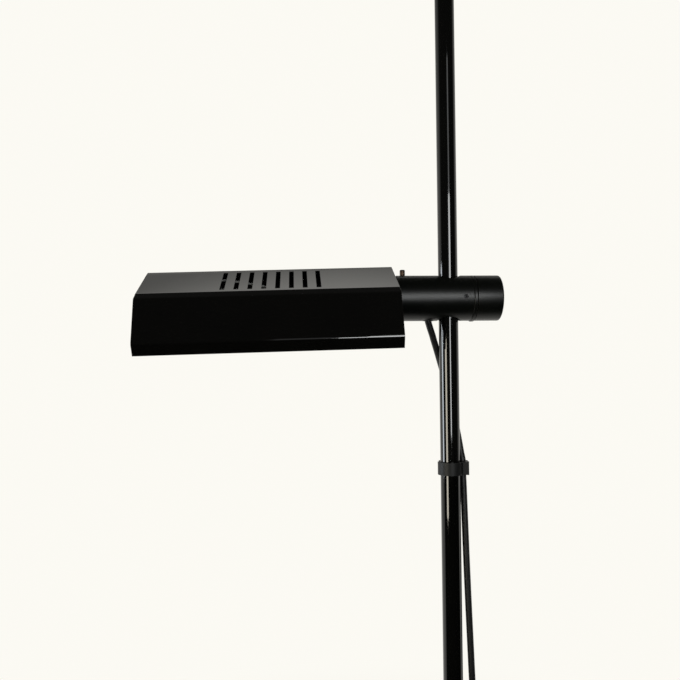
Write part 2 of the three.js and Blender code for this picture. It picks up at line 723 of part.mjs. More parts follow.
function clampScrew() {
  const tip = shoeBoreBottom + SHOE_TRAVEL + SEAT_GAP;
  return turned(
    'x',
    [
      [0, tip],
      [CLAMP_SCREW_RADIUS, tip],
      [CLAMP_SCREW_RADIUS, COLLAR_LEFT],
      [COLLAR_RADIUS, COLLAR_LEFT],
      [COLLAR_RADIUS, collarRight],
      [CLAMP_SCREW_RADIUS, collarRight],
      [CLAMP_SCREW_RADIUS, hubBoreRight - SEAT_GAP],
      [0, hubBoreRight - SEAT_GAP],
    ],
    24,
  );
}

function clampKnob() {
  const outside = ARM_RADIUS;
  const end = [0, 1, 2].map((k) => {
    const angle = ((k + 1) / 4) * (Math.PI / 2);
    return [
      outside - KNOB_ROUNDING * (1 - Math.cos(angle)),
      knobRight - KNOB_ROUNDING * (1 - Math.sin(angle)),
    ];
  });
  const inside = outside - KNOB_WALL;
  const floor = knobRight - KNOB_END_WALL;
  return turned(
    'x',
    [
      [inside, knobLeft],
      [outside, knobLeft],
      [outside, knobRight - KNOB_ROUNDING],
      ...end,
      [outside - KNOB_ROUNDING, knobRight],
      [0, knobRight],
      [0, hubBoreRight],
      [screwBore, hubBoreRight],
      [screwBore, hubLeft],
      [HUB_RADIUS, hubLeft],
      [HUB_RADIUS, floor],
      [inside, floor],
    ],
    FACETS_LARGE,
  );
}

put(arm, 'clamp_shoe', clampShoe(), brass);
put(arm, 'clamp_screw', clampScrew(), steel);
put(arm, 'clamp_knob', clampKnob(), satinBlack);

// ---------------------------------------------------------------- spindle and shade

const shadeFar = SHADE_NEAR - SHADE_LENGTH;
const slopeBottom = SHADE_TOP - SHADE_SLOPE_HEIGHT;
const rimBottom = slopeBottom - SHADE_RIM_HEIGHT;
const plateInner = SHADE_NEAR - END_PLATE;
const flangeLeft = SHADE_NEAR + SEAT_GAP;
const flangeRight = flangeLeft + FLANGE_THICKNESS;
const nutRight = plateInner - SEAT_GAP;
const nutLeft = nutRight - SPINDLE_NUT_HEIGHT;
const spindleLeft = nutLeft - 1.2;
const spindleHole = SPINDLE_RADIUS + SEAT_GAP;

// A hollow threaded spindle, with a flange outside the shade and a groove for the screw's tip.
function spindle() {
  return turned('x', [
    [SPINDLE_BORE_RADIUS, spindleLeft],
    [SPINDLE_RADIUS, spindleLeft],
    [SPINDLE_RADIUS, flangeLeft],
    [FLANGE_RADIUS, flangeLeft],
    [FLANGE_RADIUS, flangeRight],
    [SPINDLE_RADIUS, flangeRight],
    [SPINDLE_RADIUS, -SPINDLE_GROOVE_HALF],
    [SPINDLE_GROOVE_RADIUS, -SPINDLE_GROOVE_HALF],
    [SPINDLE_GROOVE_RADIUS, SPINDLE_GROOVE_HALF],
    [SPINDLE_RADIUS, SPINDLE_GROOVE_HALF],
    [SPINDLE_RADIUS, SPINDLE_RIGHT],
    [SPINDLE_BORE_RADIUS, SPINDLE_RIGHT],
  ]);
}

// The section's outer corners, from the front rim over the top to the back rim.
function shadeCorners(inset) {
  const slant = inset * Math.tan(Math.PI / 8);
  const bottomHalf = SHADE_BOTTOM_HALF - inset;
  const topHalf = SHADE_TOP_HALF - slant;
  return [
    [-bottomHalf, rimBottom],
    [-bottomHalf, slopeBottom - slant],
    [-topHalf, SHADE_TOP - inset],
    [topHalf, SHADE_TOP - inset],
    [bottomHalf, slopeBottom - slant],
    [bottomHalf, rimBottom],
  ];
}

const foldRadii = [RIM_FOLD_RADIUS, TOP_FOLD_RADIUS, TOP_FOLD_RADIUS, RIM_FOLD_RADIUS];

function shadeShell() {
  const outline = foldedSheet(shadeCorners(0), foldRadii, SHADE_WALL);
  let shell = prismX(outline, shadeFar, SHADE_NEAR);
  const middle = SHADE_NEAR - SHADE_LENGTH / 2;
  for (let i = 0; i < SLOT_COUNT; i++) {
    const x = middle + (i - (SLOT_COUNT - 1) / 2) * SLOT_PITCH;
    const half = SLOT_WIDTH / 2;
    const slot = block(x - half, x + half, SLOT_FRONT, SLOT_BACK, SHADE_TOP - 2 * SHADE_WALL, SHADE_TOP + 1);
    shell = shell.subtract(slot);
  }
  return shell;
}

// An end plate fills the folded section just inside the shell.
function endPlate(x0, x1) {
  const inset = SHADE_WALL + SEAT_GAP;
  const radii = foldRadii.map((radius) => radius - inset);
  const outline = foldedSheet(shadeCorners(inset), radii, 0);
  return prismX(outline.slice(0, outline.length / 2), x0, x1);
}

const spindleNut = drum('x', SPINDLE_NUT_RADIUS, nutLeft, nutRight, 6).subtract(
  drum('x', spindleHole, nutLeft - 1, nutRight + 1),
);
const washerFrom = flangeRight + SEAT_GAP;
put(head, 'spindle', spindle(), steel);
put(head, 'spindle_nut', spindleNut, steel);
put(
  head,
  'friction_washer',
  ring('x', SPINDLE_RADIUS + SEAT_GAP, FLANGE_RADIUS, washerFrom, washerFrom + FRICTION_WASHER_THICKNESS),
  nylon,
);
put(head, 'shade_shell', shadeShell(), glossBlack);
put(
  head,
  'shade_end_near',
  endPlate(plateInner, SHADE_NEAR).subtract(drum('x', spindleHole, plateInner - 1, SHADE_NEAR + 1)),
  glossBlack,
);
put(head, 'shade_end_far', endPlate(shadeFar, shadeFar + END_PLATE), glossBlack);

// ---------------------------------------------------------------- lamp and optics

const lampMiddle = SHADE_NEAR - SHADE_LENGTH / 2;
const lampHalf = LAMP_LENGTH / 2;
const reflectorNear = plateInner - REFLECTOR_END_SPACE;
const reflectorFar = shadeFar + END_PLATE + REFLECTOR_END_SPACE;
const holderTop = REFLECTOR_TOP - REFLECTOR_WALL - SEAT_GAP;
const holderBottom = LAMP_AXIS_HEIGHT + HOLDER_LOW;
const bracketLow = REFLECTOR_TOP + SEAT_GAP;
const bracketHigh = SHADE_TOP - SHADE_WALL - SEAT_GAP;
// Each lamp holder is made at +X of the lamp's middle. The far one is its mirror image.
const holderFace = lampHalf - HOLDER_RECESS + SEAT_GAP;
const holderMiddle = holderFace + HOLDER_LENGTH / 2;
const stemHole = STEM_RADIUS + SEAT_GAP;

function reflector() {
  const corners = [
    [-REFLECTOR_BOTTOM_HALF, REFLECTOR_BOTTOM],
    [-REFLECTOR_TOP_HALF, REFLECTOR_TOP],
    [REFLECTOR_TOP_HALF, REFLECTOR_TOP],
    [REFLECTOR_BOTTOM_HALF, REFLECTOR_BOTTOM],
  ];
  const radii = [REFLECTOR_FOLD_RADIUS, REFLECTOR_FOLD_RADIUS];
  let sheet = prismX(foldedSheet(corners, radii, REFLECTOR_WALL), reflectorFar, reflectorNear);
  for (const side of [-1, 1]) {
    const hole = drum('z', stemHole, REFLECTOR_TOP - 3, REFLECTOR_TOP + 1, FACETS_SMALL);
    sheet = sheet.subtract(hole.translate(lampMiddle + side * holderMiddle, 0, 0));
  }
  return sheet;
}

// A lamp holder faces the lamp with a round recess, and a bore behind it for its contact.
function lampHolder() {
  const back = holderFace + HOLDER_LENGTH;
  const body = block(holderFace, back, -HOLDER_HALF_WIDTH, HOLDER_HALF_WIDTH, holderBottom, holderTop);
  const stemTop = holderTop + STEM_LENGTH;
  const stem = drum('z', STEM_RADIUS, holderTop - 1, stemTop, FACETS_SMALL).translate(holderMiddle, 0, 0);
  const recess = drum('x', LAMP_CAP_RADIUS + SEAT_GAP, holderFace - 1, holderFace + HOLDER_RECESS, 20);
  const bore = drum('x', CONTACT_RADIUS + SEAT_GAP, holderFace, back - 1, FACETS_SMALL);
  return body
    .add(stem)
    .subtract(recess.translate(0, 0, LAMP_AXIS_HEIGHT))
    .subtract(bore.translate(0, 0, LAMP_AXIS_HEIGHT));
}

function mirrored(body, far) {
  const made = far ? body.mirror([1, 0, 0]) : body;
  return made.translate(lampMiddle, 0, 0);
}

// A bracket hangs each holder and the reflector's back from the shade's top.
function holderBracket() {
  const x = holderMiddle;
  const half = BRACKET_FLANGE / 2;
  const width = BRACKET_HALF_WIDTH;
  const foot = block(x - half, x + half, -width, width, bracketLow, bracketLow + BRACKET_WALL);
  const web = block(x + half - BRACKET_WALL, x + half, -width, width, bracketLow, bracketHigh);
  const topLeft = x + half - BRACKET_WALL;
  const top = block(
    topLeft,
    topLeft + BRACKET_FLANGE,
    -width,
    width,
    bracketHigh - BRACKET_WALL,
    bracketHigh,
  );
  const hole = drum('z', stemHole, bracketLow - 1, bracketLow + 3, FACETS_SMALL).translate(x, 0, 0);
  return foot.add(web).add(top).subtract(hole);
}

function lampTube() {
  const half = lampHalf - LAMP_CAP_LENGTH - SEAT_GAP;
  const shoulder = half - 6;
  const profile = [
    [0, -half],
    [LAMP_PINCH_RADIUS, -half],
    [LAMP_PINCH_RADIUS, -shoulder - 3],
    [LAMP_RADIUS * 0.85, -shoulder - 1],
    [LAMP_RADIUS, -shoulder + 1],
    [LAMP_RADIUS, shoulder - 1],
    [LAMP_RADIUS * 0.85, shoulder + 1],
    [LAMP_PINCH_RADIUS, shoulder + 3],
    [LAMP_PINCH_RADIUS, half],
    [0, half],
  ];
  return turned('x', profile, 20).translate(lampMiddle, 0, LAMP_AXIS_HEIGHT);
}

const lampCap = turned(
  'x',
  [
    [0, lampHalf - LAMP_CAP_LENGTH],
    [LAMP_CAP_RADIUS, lampHalf - LAMP_CAP_LENGTH],
    [LAMP_CAP_RADIUS, lampHalf - 1],
    [LAMP_CAP_RADIUS * 0.5, lampHalf],
    [0, lampHalf],
  ],
  20,
).translate(0, 0, LAMP_AXIS_HEIGHT);

// The near holder's contact is fixed. The far one's is sprung and gives way while a lamp is put in.
const contactTip = lampHalf + SEAT_GAP;
const lampContact = turned(
  'x',
  [
    [0, contactTip],
    [CONTACT_RADIUS * 0.5, contactTip],
    [CONTACT_RADIUS, contactTip + 1],
    [CONTACT_RADIUS, contactTip + CONTACT_LENGTH],
    [0, contactTip + CONTACT_LENGTH],
  ],
  FACETS_SMALL,
).translate(0, 0, LAMP_AXIS_HEIGHT);

const rimInner = SHADE_BOTTOM_HALF - SHADE_WALL;
const glassHalf = rimInner - GLASS_SIDE_SPACE;
const glassNear = plateInner - SEAT_GAP;
const glassFar = shadeFar + END_PLATE + SEAT_GAP;
const glassBottom = GLASS_TOP - GLASS_THICKNESS;

// An L rail inside each rim, with the glass lying on its foot.
function glassRail(side) {
  const back = rimInner - SEAT_GAP;
  const footTop = glassBottom - SEAT_GAP;
  const low = footTop - RAIL_WALL;
  const outline = [
    [side * back, low],
    [side * (back - RAIL_FOOT), low],
    [side * (back - RAIL_FOOT), footTop],
    [side * (back - RAIL_WALL), footTop],
    [side * (back - RAIL_WALL), low + RAIL_HEIGHT],
    [side * back, low + RAIL_HEIGHT],
  ];
  return prismX(outline, glassFar, glassNear);
}

// The heat-proof lead lies in the spindle and on the reflector, crosses under the vents, and goes
// round the far bracket to its back.
const leadSeat = REFLECTOR_TOP + SEAT_GAP + LEAD_RADIUS;
const boreSeat = -(SPINDLE_BORE_RADIUS - SEAT_GAP - LEAD_RADIUS);
const leadEnd = lampMiddle - holderMiddle - BRACKET_FLANGE / 2 - SEAT_GAP;
const headLead = rod(
  [
    [SHADE_NEAR + 4, 0, boreSeat],
    [spindleLeft - 1, 0, boreSeat],
    [spindleLeft - 4, -1, 1.5],
    [spindleLeft - 5, -4.5, 8],
    [spindleLeft - 9.5, -10, leadSeat + 0.8],
    [spindleLeft - 26, -17.5, leadSeat],
    [lampMiddle + 52, -20, leadSeat],
    [lampMiddle + 32, -17.5, leadSeat],
    [lampMiddle + 8, -8, leadSeat + 1.2],
    [lampMiddle - 7.3, 2.7, leadSeat + 3],
    [lampMiddle - 20.8, 9.8, leadSeat + 3.4],
    [lampMiddle - 35, 16.8, leadSeat + 3.4],
    [lampMiddle - 49.5, 23.5, leadSeat + 3],
    [lampMiddle - 62, 26.5, leadSeat + 2.2],
    [lampMiddle - 74, 24.5, leadSeat + 1.6],
    [lampMiddle - 80.5, 17.5, leadSeat + 1.4],
    [lampMiddle - 78, 10, leadSeat + 1.4],
    [leadEnd, 8, leadSeat + 1.4],
  ],
  LEAD_RADIUS,
  54,
  6,
);

const glass = block(glassFar, glassNear, -glassHalf, glassHalf, glassBottom, GLASS_TOP);
put(head, 'reflector', reflector(), aluminium);
put(head, 'holder_bracket_near', mirrored(holderBracket(), false), steel);
put(head, 'holder_bracket_far', mirrored(holderBracket(), true), steel);
put(head, 'lamp_holder_near', mirrored(lampHolder(), false), ceramic);
put(head, 'lamp_holder_far', mirrored(lampHolder(), true), ceramic);
put(head, 'lamp_contact_near', mirrored(lampContact, false), brass);
put(head, 'lamp_contact_far', mirrored(lampContact, true), brass);
put(head, 'lamp_tube', lampTube(), quartz);
put(head, 'lamp_cap_near', mirrored(lampCap, false), ceramic);
put(head, 'lamp_cap_far', mirrored(lampCap, true), ceramic);
put(head, 'safety_glass', glass, clearGlass);
put(head, 'glass_rail_front', glassRail(-1), aluminium);
put(head, 'glass_rail_back', glassRail(1), aluminium);
put(head, 'head_lead', headLead, silicone);

// ---------------------------------------------------------------- cord

// The cord's stretches in order, down from the grip in the arm. The first two are in the arm's
// frame, and the rest stands on the floor.
const cordInArm = [
  [-21.9, 0, -8.6],
  [-21.9, 0, -14],
  [-21.7, 0, -19.2],
  [-21.2, 0.3, -23.2],
  [-20, 1.4, -27],
  [-18.1, 2.9, -32.4],
  [-16.1, 4.5, -37.6],
  [-14.4, 6.2, -42.7],
  [-12.5, 8, -47.9],
  [-9.2, 10.7, -57.5],
  [-5.2, 12.8, -70.4],
  [-2.15, 13.9, -80],
  [0.3, 14.1, -90],
];
const cordToClip = [
  [0.37, 14.1, -90.3],
  [2.6, 13.9, -100],
  [4.8, 13.3, -110],
  [6.8, 12.4, -120],
  [8.8, 11, -131.7],
  [10.4, 9.5, -142],
  [11.7, 7.5, -152],
  [12.6, 5.6, -160],
];
const low = LOW_CLIP_HEIGHT;
const cordDownPole = [
  [12.64, 5.53, ARM_HEIGHT - 160.3],
  [13.4, 4.0, ARM_HEIGHT - 165.5],
  [13.55, 3.8, ARM_HEIGHT - 170],
  [13.65, 3.6, ARM_HEIGHT - 176],
  [13.75, 3.3, ARM_HEIGHT - 184],
  [14, 2.8, ARM_HEIGHT - 194],
  [14.6, 1.7, ARM_HEIGHT - 225],
  [15.6, 0.8, ARM_HEIGHT - 268],
  [16.9, 0.8, ARM_HEIGHT - 309],
  [18.5, 1.5, ARM_HEIGHT - 350],
  [19.5, 2.1, ARM_HEIGHT - 375],
  [22, 4, ARM_HEIGHT - 440],
  [24.2, 6.6, ARM_HEIGHT - 550],
  [24.4, 9.6, ARM_HEIGHT - 680],
  [22, 12.4, ARM_HEIGHT - 810],
  [17.6, 14.2, ARM_HEIGHT - 930],
  [12.4, 14.8, ARM_HEIGHT - 1040],
  [8.2, 13.9, ARM_HEIGHT - 1120],
  [6.05, 13, low + 20],
  [5.85, 12.9, low + 10],
  [5.85, 13, low + 1],
  [5.95, 14.6, low - 8],
  [6.3, 19.4, low - 20],
  [6.9, 28.5, low - 32],
  [7.8, 42, low - 39.4],
  [8.8, 60, low - 41.9],
  [10.2, 85, low - 42],
  [12, 110, low - 41.9],
  [14.1, 134, low - 41.6],
  [15.2, 145, low - 43],
  [16, 153.5, low - 47],
  [16.5, 160.5, low - 52.4],
  [16.4, 168, low - 57],
  [15, 176, low - 59],
  [11.5, 184.5, low - 59.4],
  [6.4, 191.6, low - 58.4],
  [0.4, 196.6, low - 56.4],
  [-6.2, 199.6, low - 54.6],
  [-13.2, 200, low - 54],
];
const nozzleEnd = SWITCH_HALF_LENGTH + SWITCH_NOZZLE_LENGTH;
const coilOuterRow = COIL_MEAN_RADIUS + ((COIL_COLUMNS - 1) / 2) * 2 * CORD_RADIUS;
const coilReach = coilOuterRow + CORD_RADIUS + SEAT_GAP;
const meetCoil = COIL_X + Math.sqrt(coilReach ** 2 - (coilOuterRow - CORD_RADIUS) ** 2);
const cordToCoil = [
  [SWITCH_X - nozzleEnd - 2 * SEAT_GAP, SWITCH_Y, 10],
  [SWITCH_X - nozzleEnd - 5, SWITCH_Y, 9.4],
  [meetCoil + 5.4, SWITCH_Y, 7.3],
  [meetCoil, SWITCH_Y, 5.4],
];

put(arm, 'flex_upper', rod(cordInArm, CORD_RADIUS, 12), cordBlack);
put(arm, 'flex_middle', rod(cordToClip, CORD_RADIUS, 6), cordBlack);
put(lamp, 'flex_lower', rod(cordDownPole, CORD_RADIUS, 78), cordBlack);
put(lamp, 'flex_to_coil', rod(cordToCoil, CORD_RADIUS, 3), cordBlack);

// ---------------------------------------------------------------- coil and tie

const coilY = SWITCH_Y - coilOuterRow;
const coilHalfWidth = COIL_COLUMNS * CORD_RADIUS;
const coilHeight = COIL_LAYERS * 2 * CORD_RADIUS;
const coilTop = COIL_LIFT + coilHeight;

function coil() {
  const corner = CORD_RADIUS / 2;
  const [inner, outer] = [COIL_MEAN_RADIUS - coilHalfWidth, COIL_MEAN_RADIUS + coilHalfWidth];
  const profile = [
    [inner + corner, COIL_LIFT],
    [outer - corner, COIL_LIFT],
    [outer, COIL_LIFT + corner],
    [outer, coilTop - corner],
    [outer - corner, coilTop],
    [inner + corner, coilTop],
    [inner, coilTop - corner],
    [inner, COIL_LIFT + corner],
  ];
  return turned('z', profile, 40).translate(COIL_X, coilY, 0);
}

// A flat tie round the bundle, on the coil's front side.
function coilTie() {
  const space = coilHalfWidth + SEAT_GAP + 0.4;
  const wall = space + TIE_THICKNESS;
  const [low0, high0] = [COIL_LIFT - SEAT_GAP, coilTop + SEAT_GAP];
  const outside = block(
    -TIE_HALF_WIDTH,
    TIE_HALF_WIDTH,
    -wall,
    wall,
    low0 - TIE_THICKNESS,
    high0 + TIE_THICKNESS,
  );
  const inside = block(-TIE_HALF_WIDTH - 1, TIE_HALF_WIDTH + 1, -space, space, low0, high0);
  return outside.subtract(inside).translate(COIL_X, coilY - COIL_MEAN_RADIUS, 0);
}

put(lamp, 'flex_coil', coil(), cordBlack);
put(lamp, 'coil_tie', coilTie(), rubber);

// ---------------------------------------------------------------- plug

const plugX = COIL_X - coilOuterRow;
const reliefTip = PLUG_RELIEF_RADIUS - 0.8;
const plugStart = coilY - Math.sqrt(coilReach ** 2 - (coilOuterRow - reliefTip) ** 2);
const plugZ = PLUG_HALF_HEIGHT + SEAT_GAP;

// A flat two-pin plug with its tapered relief towards the coil, made along -Y from its start.
function plugBody() {
  const shoulder = -PLUG_RELIEF_LENGTH - PLUG_TAPER;
  const end = -PLUG_RELIEF_LENGTH - PLUG_LENGTH;
  const relief = turned(
    'y',
    [
      [0, 0],
      [reliefTip, 0],
      [PLUG_RELIEF_RADIUS + 1, -PLUG_RELIEF_LENGTH - 1],
      [0, -PLUG_RELIEF_LENGTH - 1],
    ],
    FACETS_SMALL,
  );
  const shape = new THREE.Shape();
  shape.moveTo(-PLUG_RELIEF_RADIUS - 2, -PLUG_RELIEF_LENGTH);
  shape.quadraticCurveTo(-PLUG_HALF_WIDTH, -PLUG_RELIEF_LENGTH, -PLUG_HALF_WIDTH, shoulder);
  shape.lineTo(-PLUG_HALF_WIDTH + 2, end);
  shape.lineTo(PLUG_HALF_WIDTH - 2, end);
  shape.lineTo(PLUG_HALF_WIDTH, shoulder);
  shape.quadraticCurveTo(
    PLUG_HALF_WIDTH,
    -PLUG_RELIEF_LENGTH,
    PLUG_RELIEF_RADIUS + 2,
    -PLUG_RELIEF_LENGTH,
  );
  const drawn = { depth: 2 * PLUG_HALF_HEIGHT, bevelEnabled: false, curveSegments: 5 };
  let body = relief.add(solid(new THREE.ExtrudeGeometry(shape, drawn).translate(0, 0, -PLUG_HALF_HEIGHT)));
  for (const side of [-1, 1]) {
    const socket = drum('y', PIN_RADIUS + SEAT_GAP, end - 1, end + PIN_SOCKET, FACETS_SMALL);
    body = body.subtract(socket.translate((side * PIN_SPACING) / 2, 0, 0));
  }
  return body.translate(plugX, plugStart, plugZ);
}

function plugPin(side) {
  const face = -PLUG_RELIEF_LENGTH - PLUG_LENGTH;
  const root = face + PIN_SOCKET - SEAT_GAP;
  const profile = [
    [0, root],
    [PIN_RADIUS, root],
    [PIN_RADIUS, face - PIN_LENGTH + 1],
    [PIN_RADIUS - 0.8, face - PIN_LENGTH],
    [0, face - PIN_LENGTH],
  ];
  const place = [plugX + (side * PIN_SPACING) / 2, plugStart, plugZ];
  return turned('y', profile, FACETS_SMALL).translate(...place);
}

put(lamp, 'plug_body', plugBody(), blackPlastic);
put(lamp, 'plug_pin_left', plugPin(-1), brass);
put(lamp, 'plug_pin_right', plugPin(1), brass);

// ---------------------------------------------------------------- foot switch

const switchPlace = [SWITCH_X, SWITCH_Y, 0];
const coverBottom = SWITCH_BASE_THICKNESS + SEAT_GAP;
const coverRoof = SWITCH_HEIGHT - SWITCH_WALL;
const buttonHole = BUTTON_RADIUS + SEAT_GAP;
const buttonFlangeTop = coverRoof - SEAT_GAP;
const buttonBottom = SWITCH_HEIGHT + BUTTON_PROUD - BUTTON_HEIGHT;
const springBottom = SWITCH_BASE_THICKNESS + SEAT_GAP;
const nozzleHeight = 10;

function switchCover() {
  const outside = roundedSlab(
    SWITCH_HALF_LENGTH,
    SWITCH_HALF_WIDTH,
    SWITCH_CORNER,
    coverBottom,
    SWITCH_HEIGHT,
  );
  const inside = roundedSlab(
    SWITCH_HALF_LENGTH - SWITCH_WALL,
    SWITCH_HALF_WIDTH - SWITCH_WALL,
    SWITCH_CORNER - SWITCH_WALL,
    coverBottom - 1,
    coverRoof,
  );
  const wallX = SWITCH_HALF_LENGTH - SWITCH_WALL;
  let cover = outside.subtract(inside).subtract(drum('z', buttonHole, coverRoof - 1, SWITCH_HEIGHT + 1));
  for (const side of [-1, 1]) {
    const nozzle = turned(
      'x',
      [
        [0, side * wallX],
        [SWITCH_NOZZLE_RADIUS + 1.4, side * wallX],
        [SWITCH_NOZZLE_RADIUS - 0.8, side * nozzleEnd],
        [0, side * nozzleEnd],
      ],
      FACETS_SMALL,
    );
    const way = drum('x', 1.6, side * (wallX - 1), side * (nozzleEnd - 2), 10);
    cover = cover.add(nozzle.translate(0, 0, nozzleHeight)).subtract(way.translate(0, 0, nozzleHeight));
  }
  return cover.translate(...switchPlace);
}

function switchButton() {
  const top = SWITCH_HEIGHT + BUTTON_PROUD;
  const profile = [
    [0, buttonBottom],
    [BUTTON_RADIUS + BUTTON_FLANGE, buttonBottom],
    [BUTTON_RADIUS + BUTTON_FLANGE, buttonFlangeTop],
    [BUTTON_RADIUS, buttonFlangeTop],
    [BUTTON_RADIUS, top - 2],
    [BUTTON_RADIUS - 2, top],
    [0, top],
  ];
  return turned('z', profile).translate(...switchPlace);
}

function switchSpring() {
  const wire = [];
  const perTurn = 10;
  const bottom = springBottom + SPRING_WIRE;
  const top = buttonBottom - SEAT_GAP - SPRING_WIRE;
  for (let i = 0; i <= SPRING_TURNS * perTurn; i++) {
    const turn = (i / perTurn) * 2 * Math.PI;
    const share = i / (SPRING_TURNS * perTurn);
    wire.push([
      SWITCH_X + SPRING_RADIUS * Math.cos(turn),
      SWITCH_Y + SPRING_RADIUS * Math.sin(turn),
      bottom + share * (top - bottom),
    ]);
  }
  return rod(wire, SPRING_WIRE, SPRING_TURNS * perTurn, 5);
}

const switchTray = roundedSlab(
  SWITCH_HALF_LENGTH,
  SWITCH_HALF_WIDTH,
  SWITCH_CORNER,
  0,
  SWITCH_BASE_THICKNESS,
);
put(lamp, 'switch_tray', switchTray.translate(...switchPlace), rubber);
put(lamp, 'switch_cover', switchCover(), blackPlastic);
put(lamp, 'switch_button', switchButton(), blackPlastic);
put(lamp, 'switch_spring', switchSpring(), steel);

export default lamp;
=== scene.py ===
"""A floor reading lamp: a slim black pole on a heavy disc, and a linear halogen head on a short arm
that slides on the pole, turns round it and is clamped by the knob at its end.

Metres, +Z up. The origin is on the pole's axis, on the floor, and -Y is the front."""

import json
import math

import bmesh
import bpy
from mathutils import Matrix, Vector
from mathutils.geometry import interpolate_bezier


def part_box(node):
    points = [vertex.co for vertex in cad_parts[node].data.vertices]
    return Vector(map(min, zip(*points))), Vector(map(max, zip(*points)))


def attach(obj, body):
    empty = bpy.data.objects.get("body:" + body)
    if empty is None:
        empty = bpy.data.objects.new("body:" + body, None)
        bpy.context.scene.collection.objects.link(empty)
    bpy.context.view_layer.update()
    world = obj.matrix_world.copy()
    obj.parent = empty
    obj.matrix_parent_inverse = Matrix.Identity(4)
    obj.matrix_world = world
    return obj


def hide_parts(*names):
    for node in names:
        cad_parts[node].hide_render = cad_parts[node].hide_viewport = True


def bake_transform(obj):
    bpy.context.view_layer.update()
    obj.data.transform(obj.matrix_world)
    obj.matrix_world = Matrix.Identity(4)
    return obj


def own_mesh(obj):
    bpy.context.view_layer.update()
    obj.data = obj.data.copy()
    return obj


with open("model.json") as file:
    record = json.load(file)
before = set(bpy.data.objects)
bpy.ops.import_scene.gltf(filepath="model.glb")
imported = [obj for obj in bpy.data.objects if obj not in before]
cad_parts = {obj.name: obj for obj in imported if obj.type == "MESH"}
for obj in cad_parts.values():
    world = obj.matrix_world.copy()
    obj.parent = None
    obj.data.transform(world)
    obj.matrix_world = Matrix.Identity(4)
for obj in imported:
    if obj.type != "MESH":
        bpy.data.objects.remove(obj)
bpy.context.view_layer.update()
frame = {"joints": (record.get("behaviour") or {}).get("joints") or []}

# ------------------------------------------------------------------ camera
# The lamp is looked at from just in front of its arm, a hand's breadth below it, with a wide lens.
# The camera leans back a little and is turned a touch clockwise, so that the pole runs off upright.

LENS = 36.0
SENSOR = 36.0
NEAR_SIGHT = 0.02
FAR_SIGHT = 60.0
CAMERA_PLACE = (-0.1509, -0.6930, 1.1899)
CAMERA_YAW = math.radians(-3.203)
CAMERA_PITCH = math.radians(1.48)
CAMERA_ROLL = math.radians(-0.53)


def placed(name, data):
    """A new object in the scene."""
    made = bpy.data.objects.new(name, data)
    bpy.context.scene.collection.objects.link(made)
    return made


camera = placed("camera", bpy.data.cameras.new("camera"))
camera.data.lens = LENS
camera.data.sensor_width = SENSOR
camera.data.clip_start = NEAR_SIGHT
camera.data.clip_end = FAR_SIGHT
camera.matrix_world = (
    Matrix.Translation(CAMERA_PLACE)
    @ Matrix.Rotation(CAMERA_YAW, 4, "Z")
    @ Matrix.Rotation(math.pi / 2 + CAMERA_PITCH, 4, "X")
    @ Matrix.Rotation(CAMERA_ROLL, 4, "Z")
)
bpy.context.scene.camera = camera

# ------------------------------------------------------------------ flex
# The mains lead is round three-core flex in soft black PVC, 6.8 mm thick. It leaves the arm's
# underside, slants round the back of the pole to the upper clip, hangs down the pole to the lower
# clip and lies on the floor as far as the foot switch.


class Level:
    """A node's result, which varies over a surface. Arithmetic on it adds Math nodes."""

    def __init__(self, nodes, socket):
        self.nodes = nodes
        self.socket = socket

    def math(self, operation, *values):
        return self.nodes.node("Math", {"operation": operation}, dict(enumerate(values)))

    def __add__(self, other):
        return self.math("ADD", self, other)

    def __sub__(self, other):
        return self.math("SUBTRACT", self, other)

    def __rsub__(self, other):
        return self.math("SUBTRACT", other, self)

    def __mul__(self, other):
        return self.math("MULTIPLY", self, other)

    __radd__ = __add__
    __rmul__ = __mul__

    def between(self, low, high):
        """0 below low, 1 above high, and smooth in between."""
        ends = {"Value": self, "From Min": low, "From Max": high}
        return self.nodes.node("MapRange", {"interpolation_type": "SMOOTHSTEP"}, ends)


class Nodes:
    """The nodes of a finish or of the room's glow."""

    def __init__(self, tree):
        self.tree = tree

    def plug(self, slot, value):
        """Links a node's result to a socket, or sets the socket to a plain value."""
        if isinstance(value, Level):
            self.tree.links.new(value.socket, slot)
        else:
            slot.default_value = value

    def node(self, kind, settings=None, inputs=None, output=0):
        """A new node of a type: its settings come first, then its sockets' values or links."""
        made = self.tree.nodes.new("ShaderNode" + kind)
        for name, value in (settings or {}).items():
            setattr(made, name, value)
        for name, value in (inputs or {}).items():
            self.plug(made.inputs[name], value)
        return Level(self, made.outputs[output] if made.outputs else None)


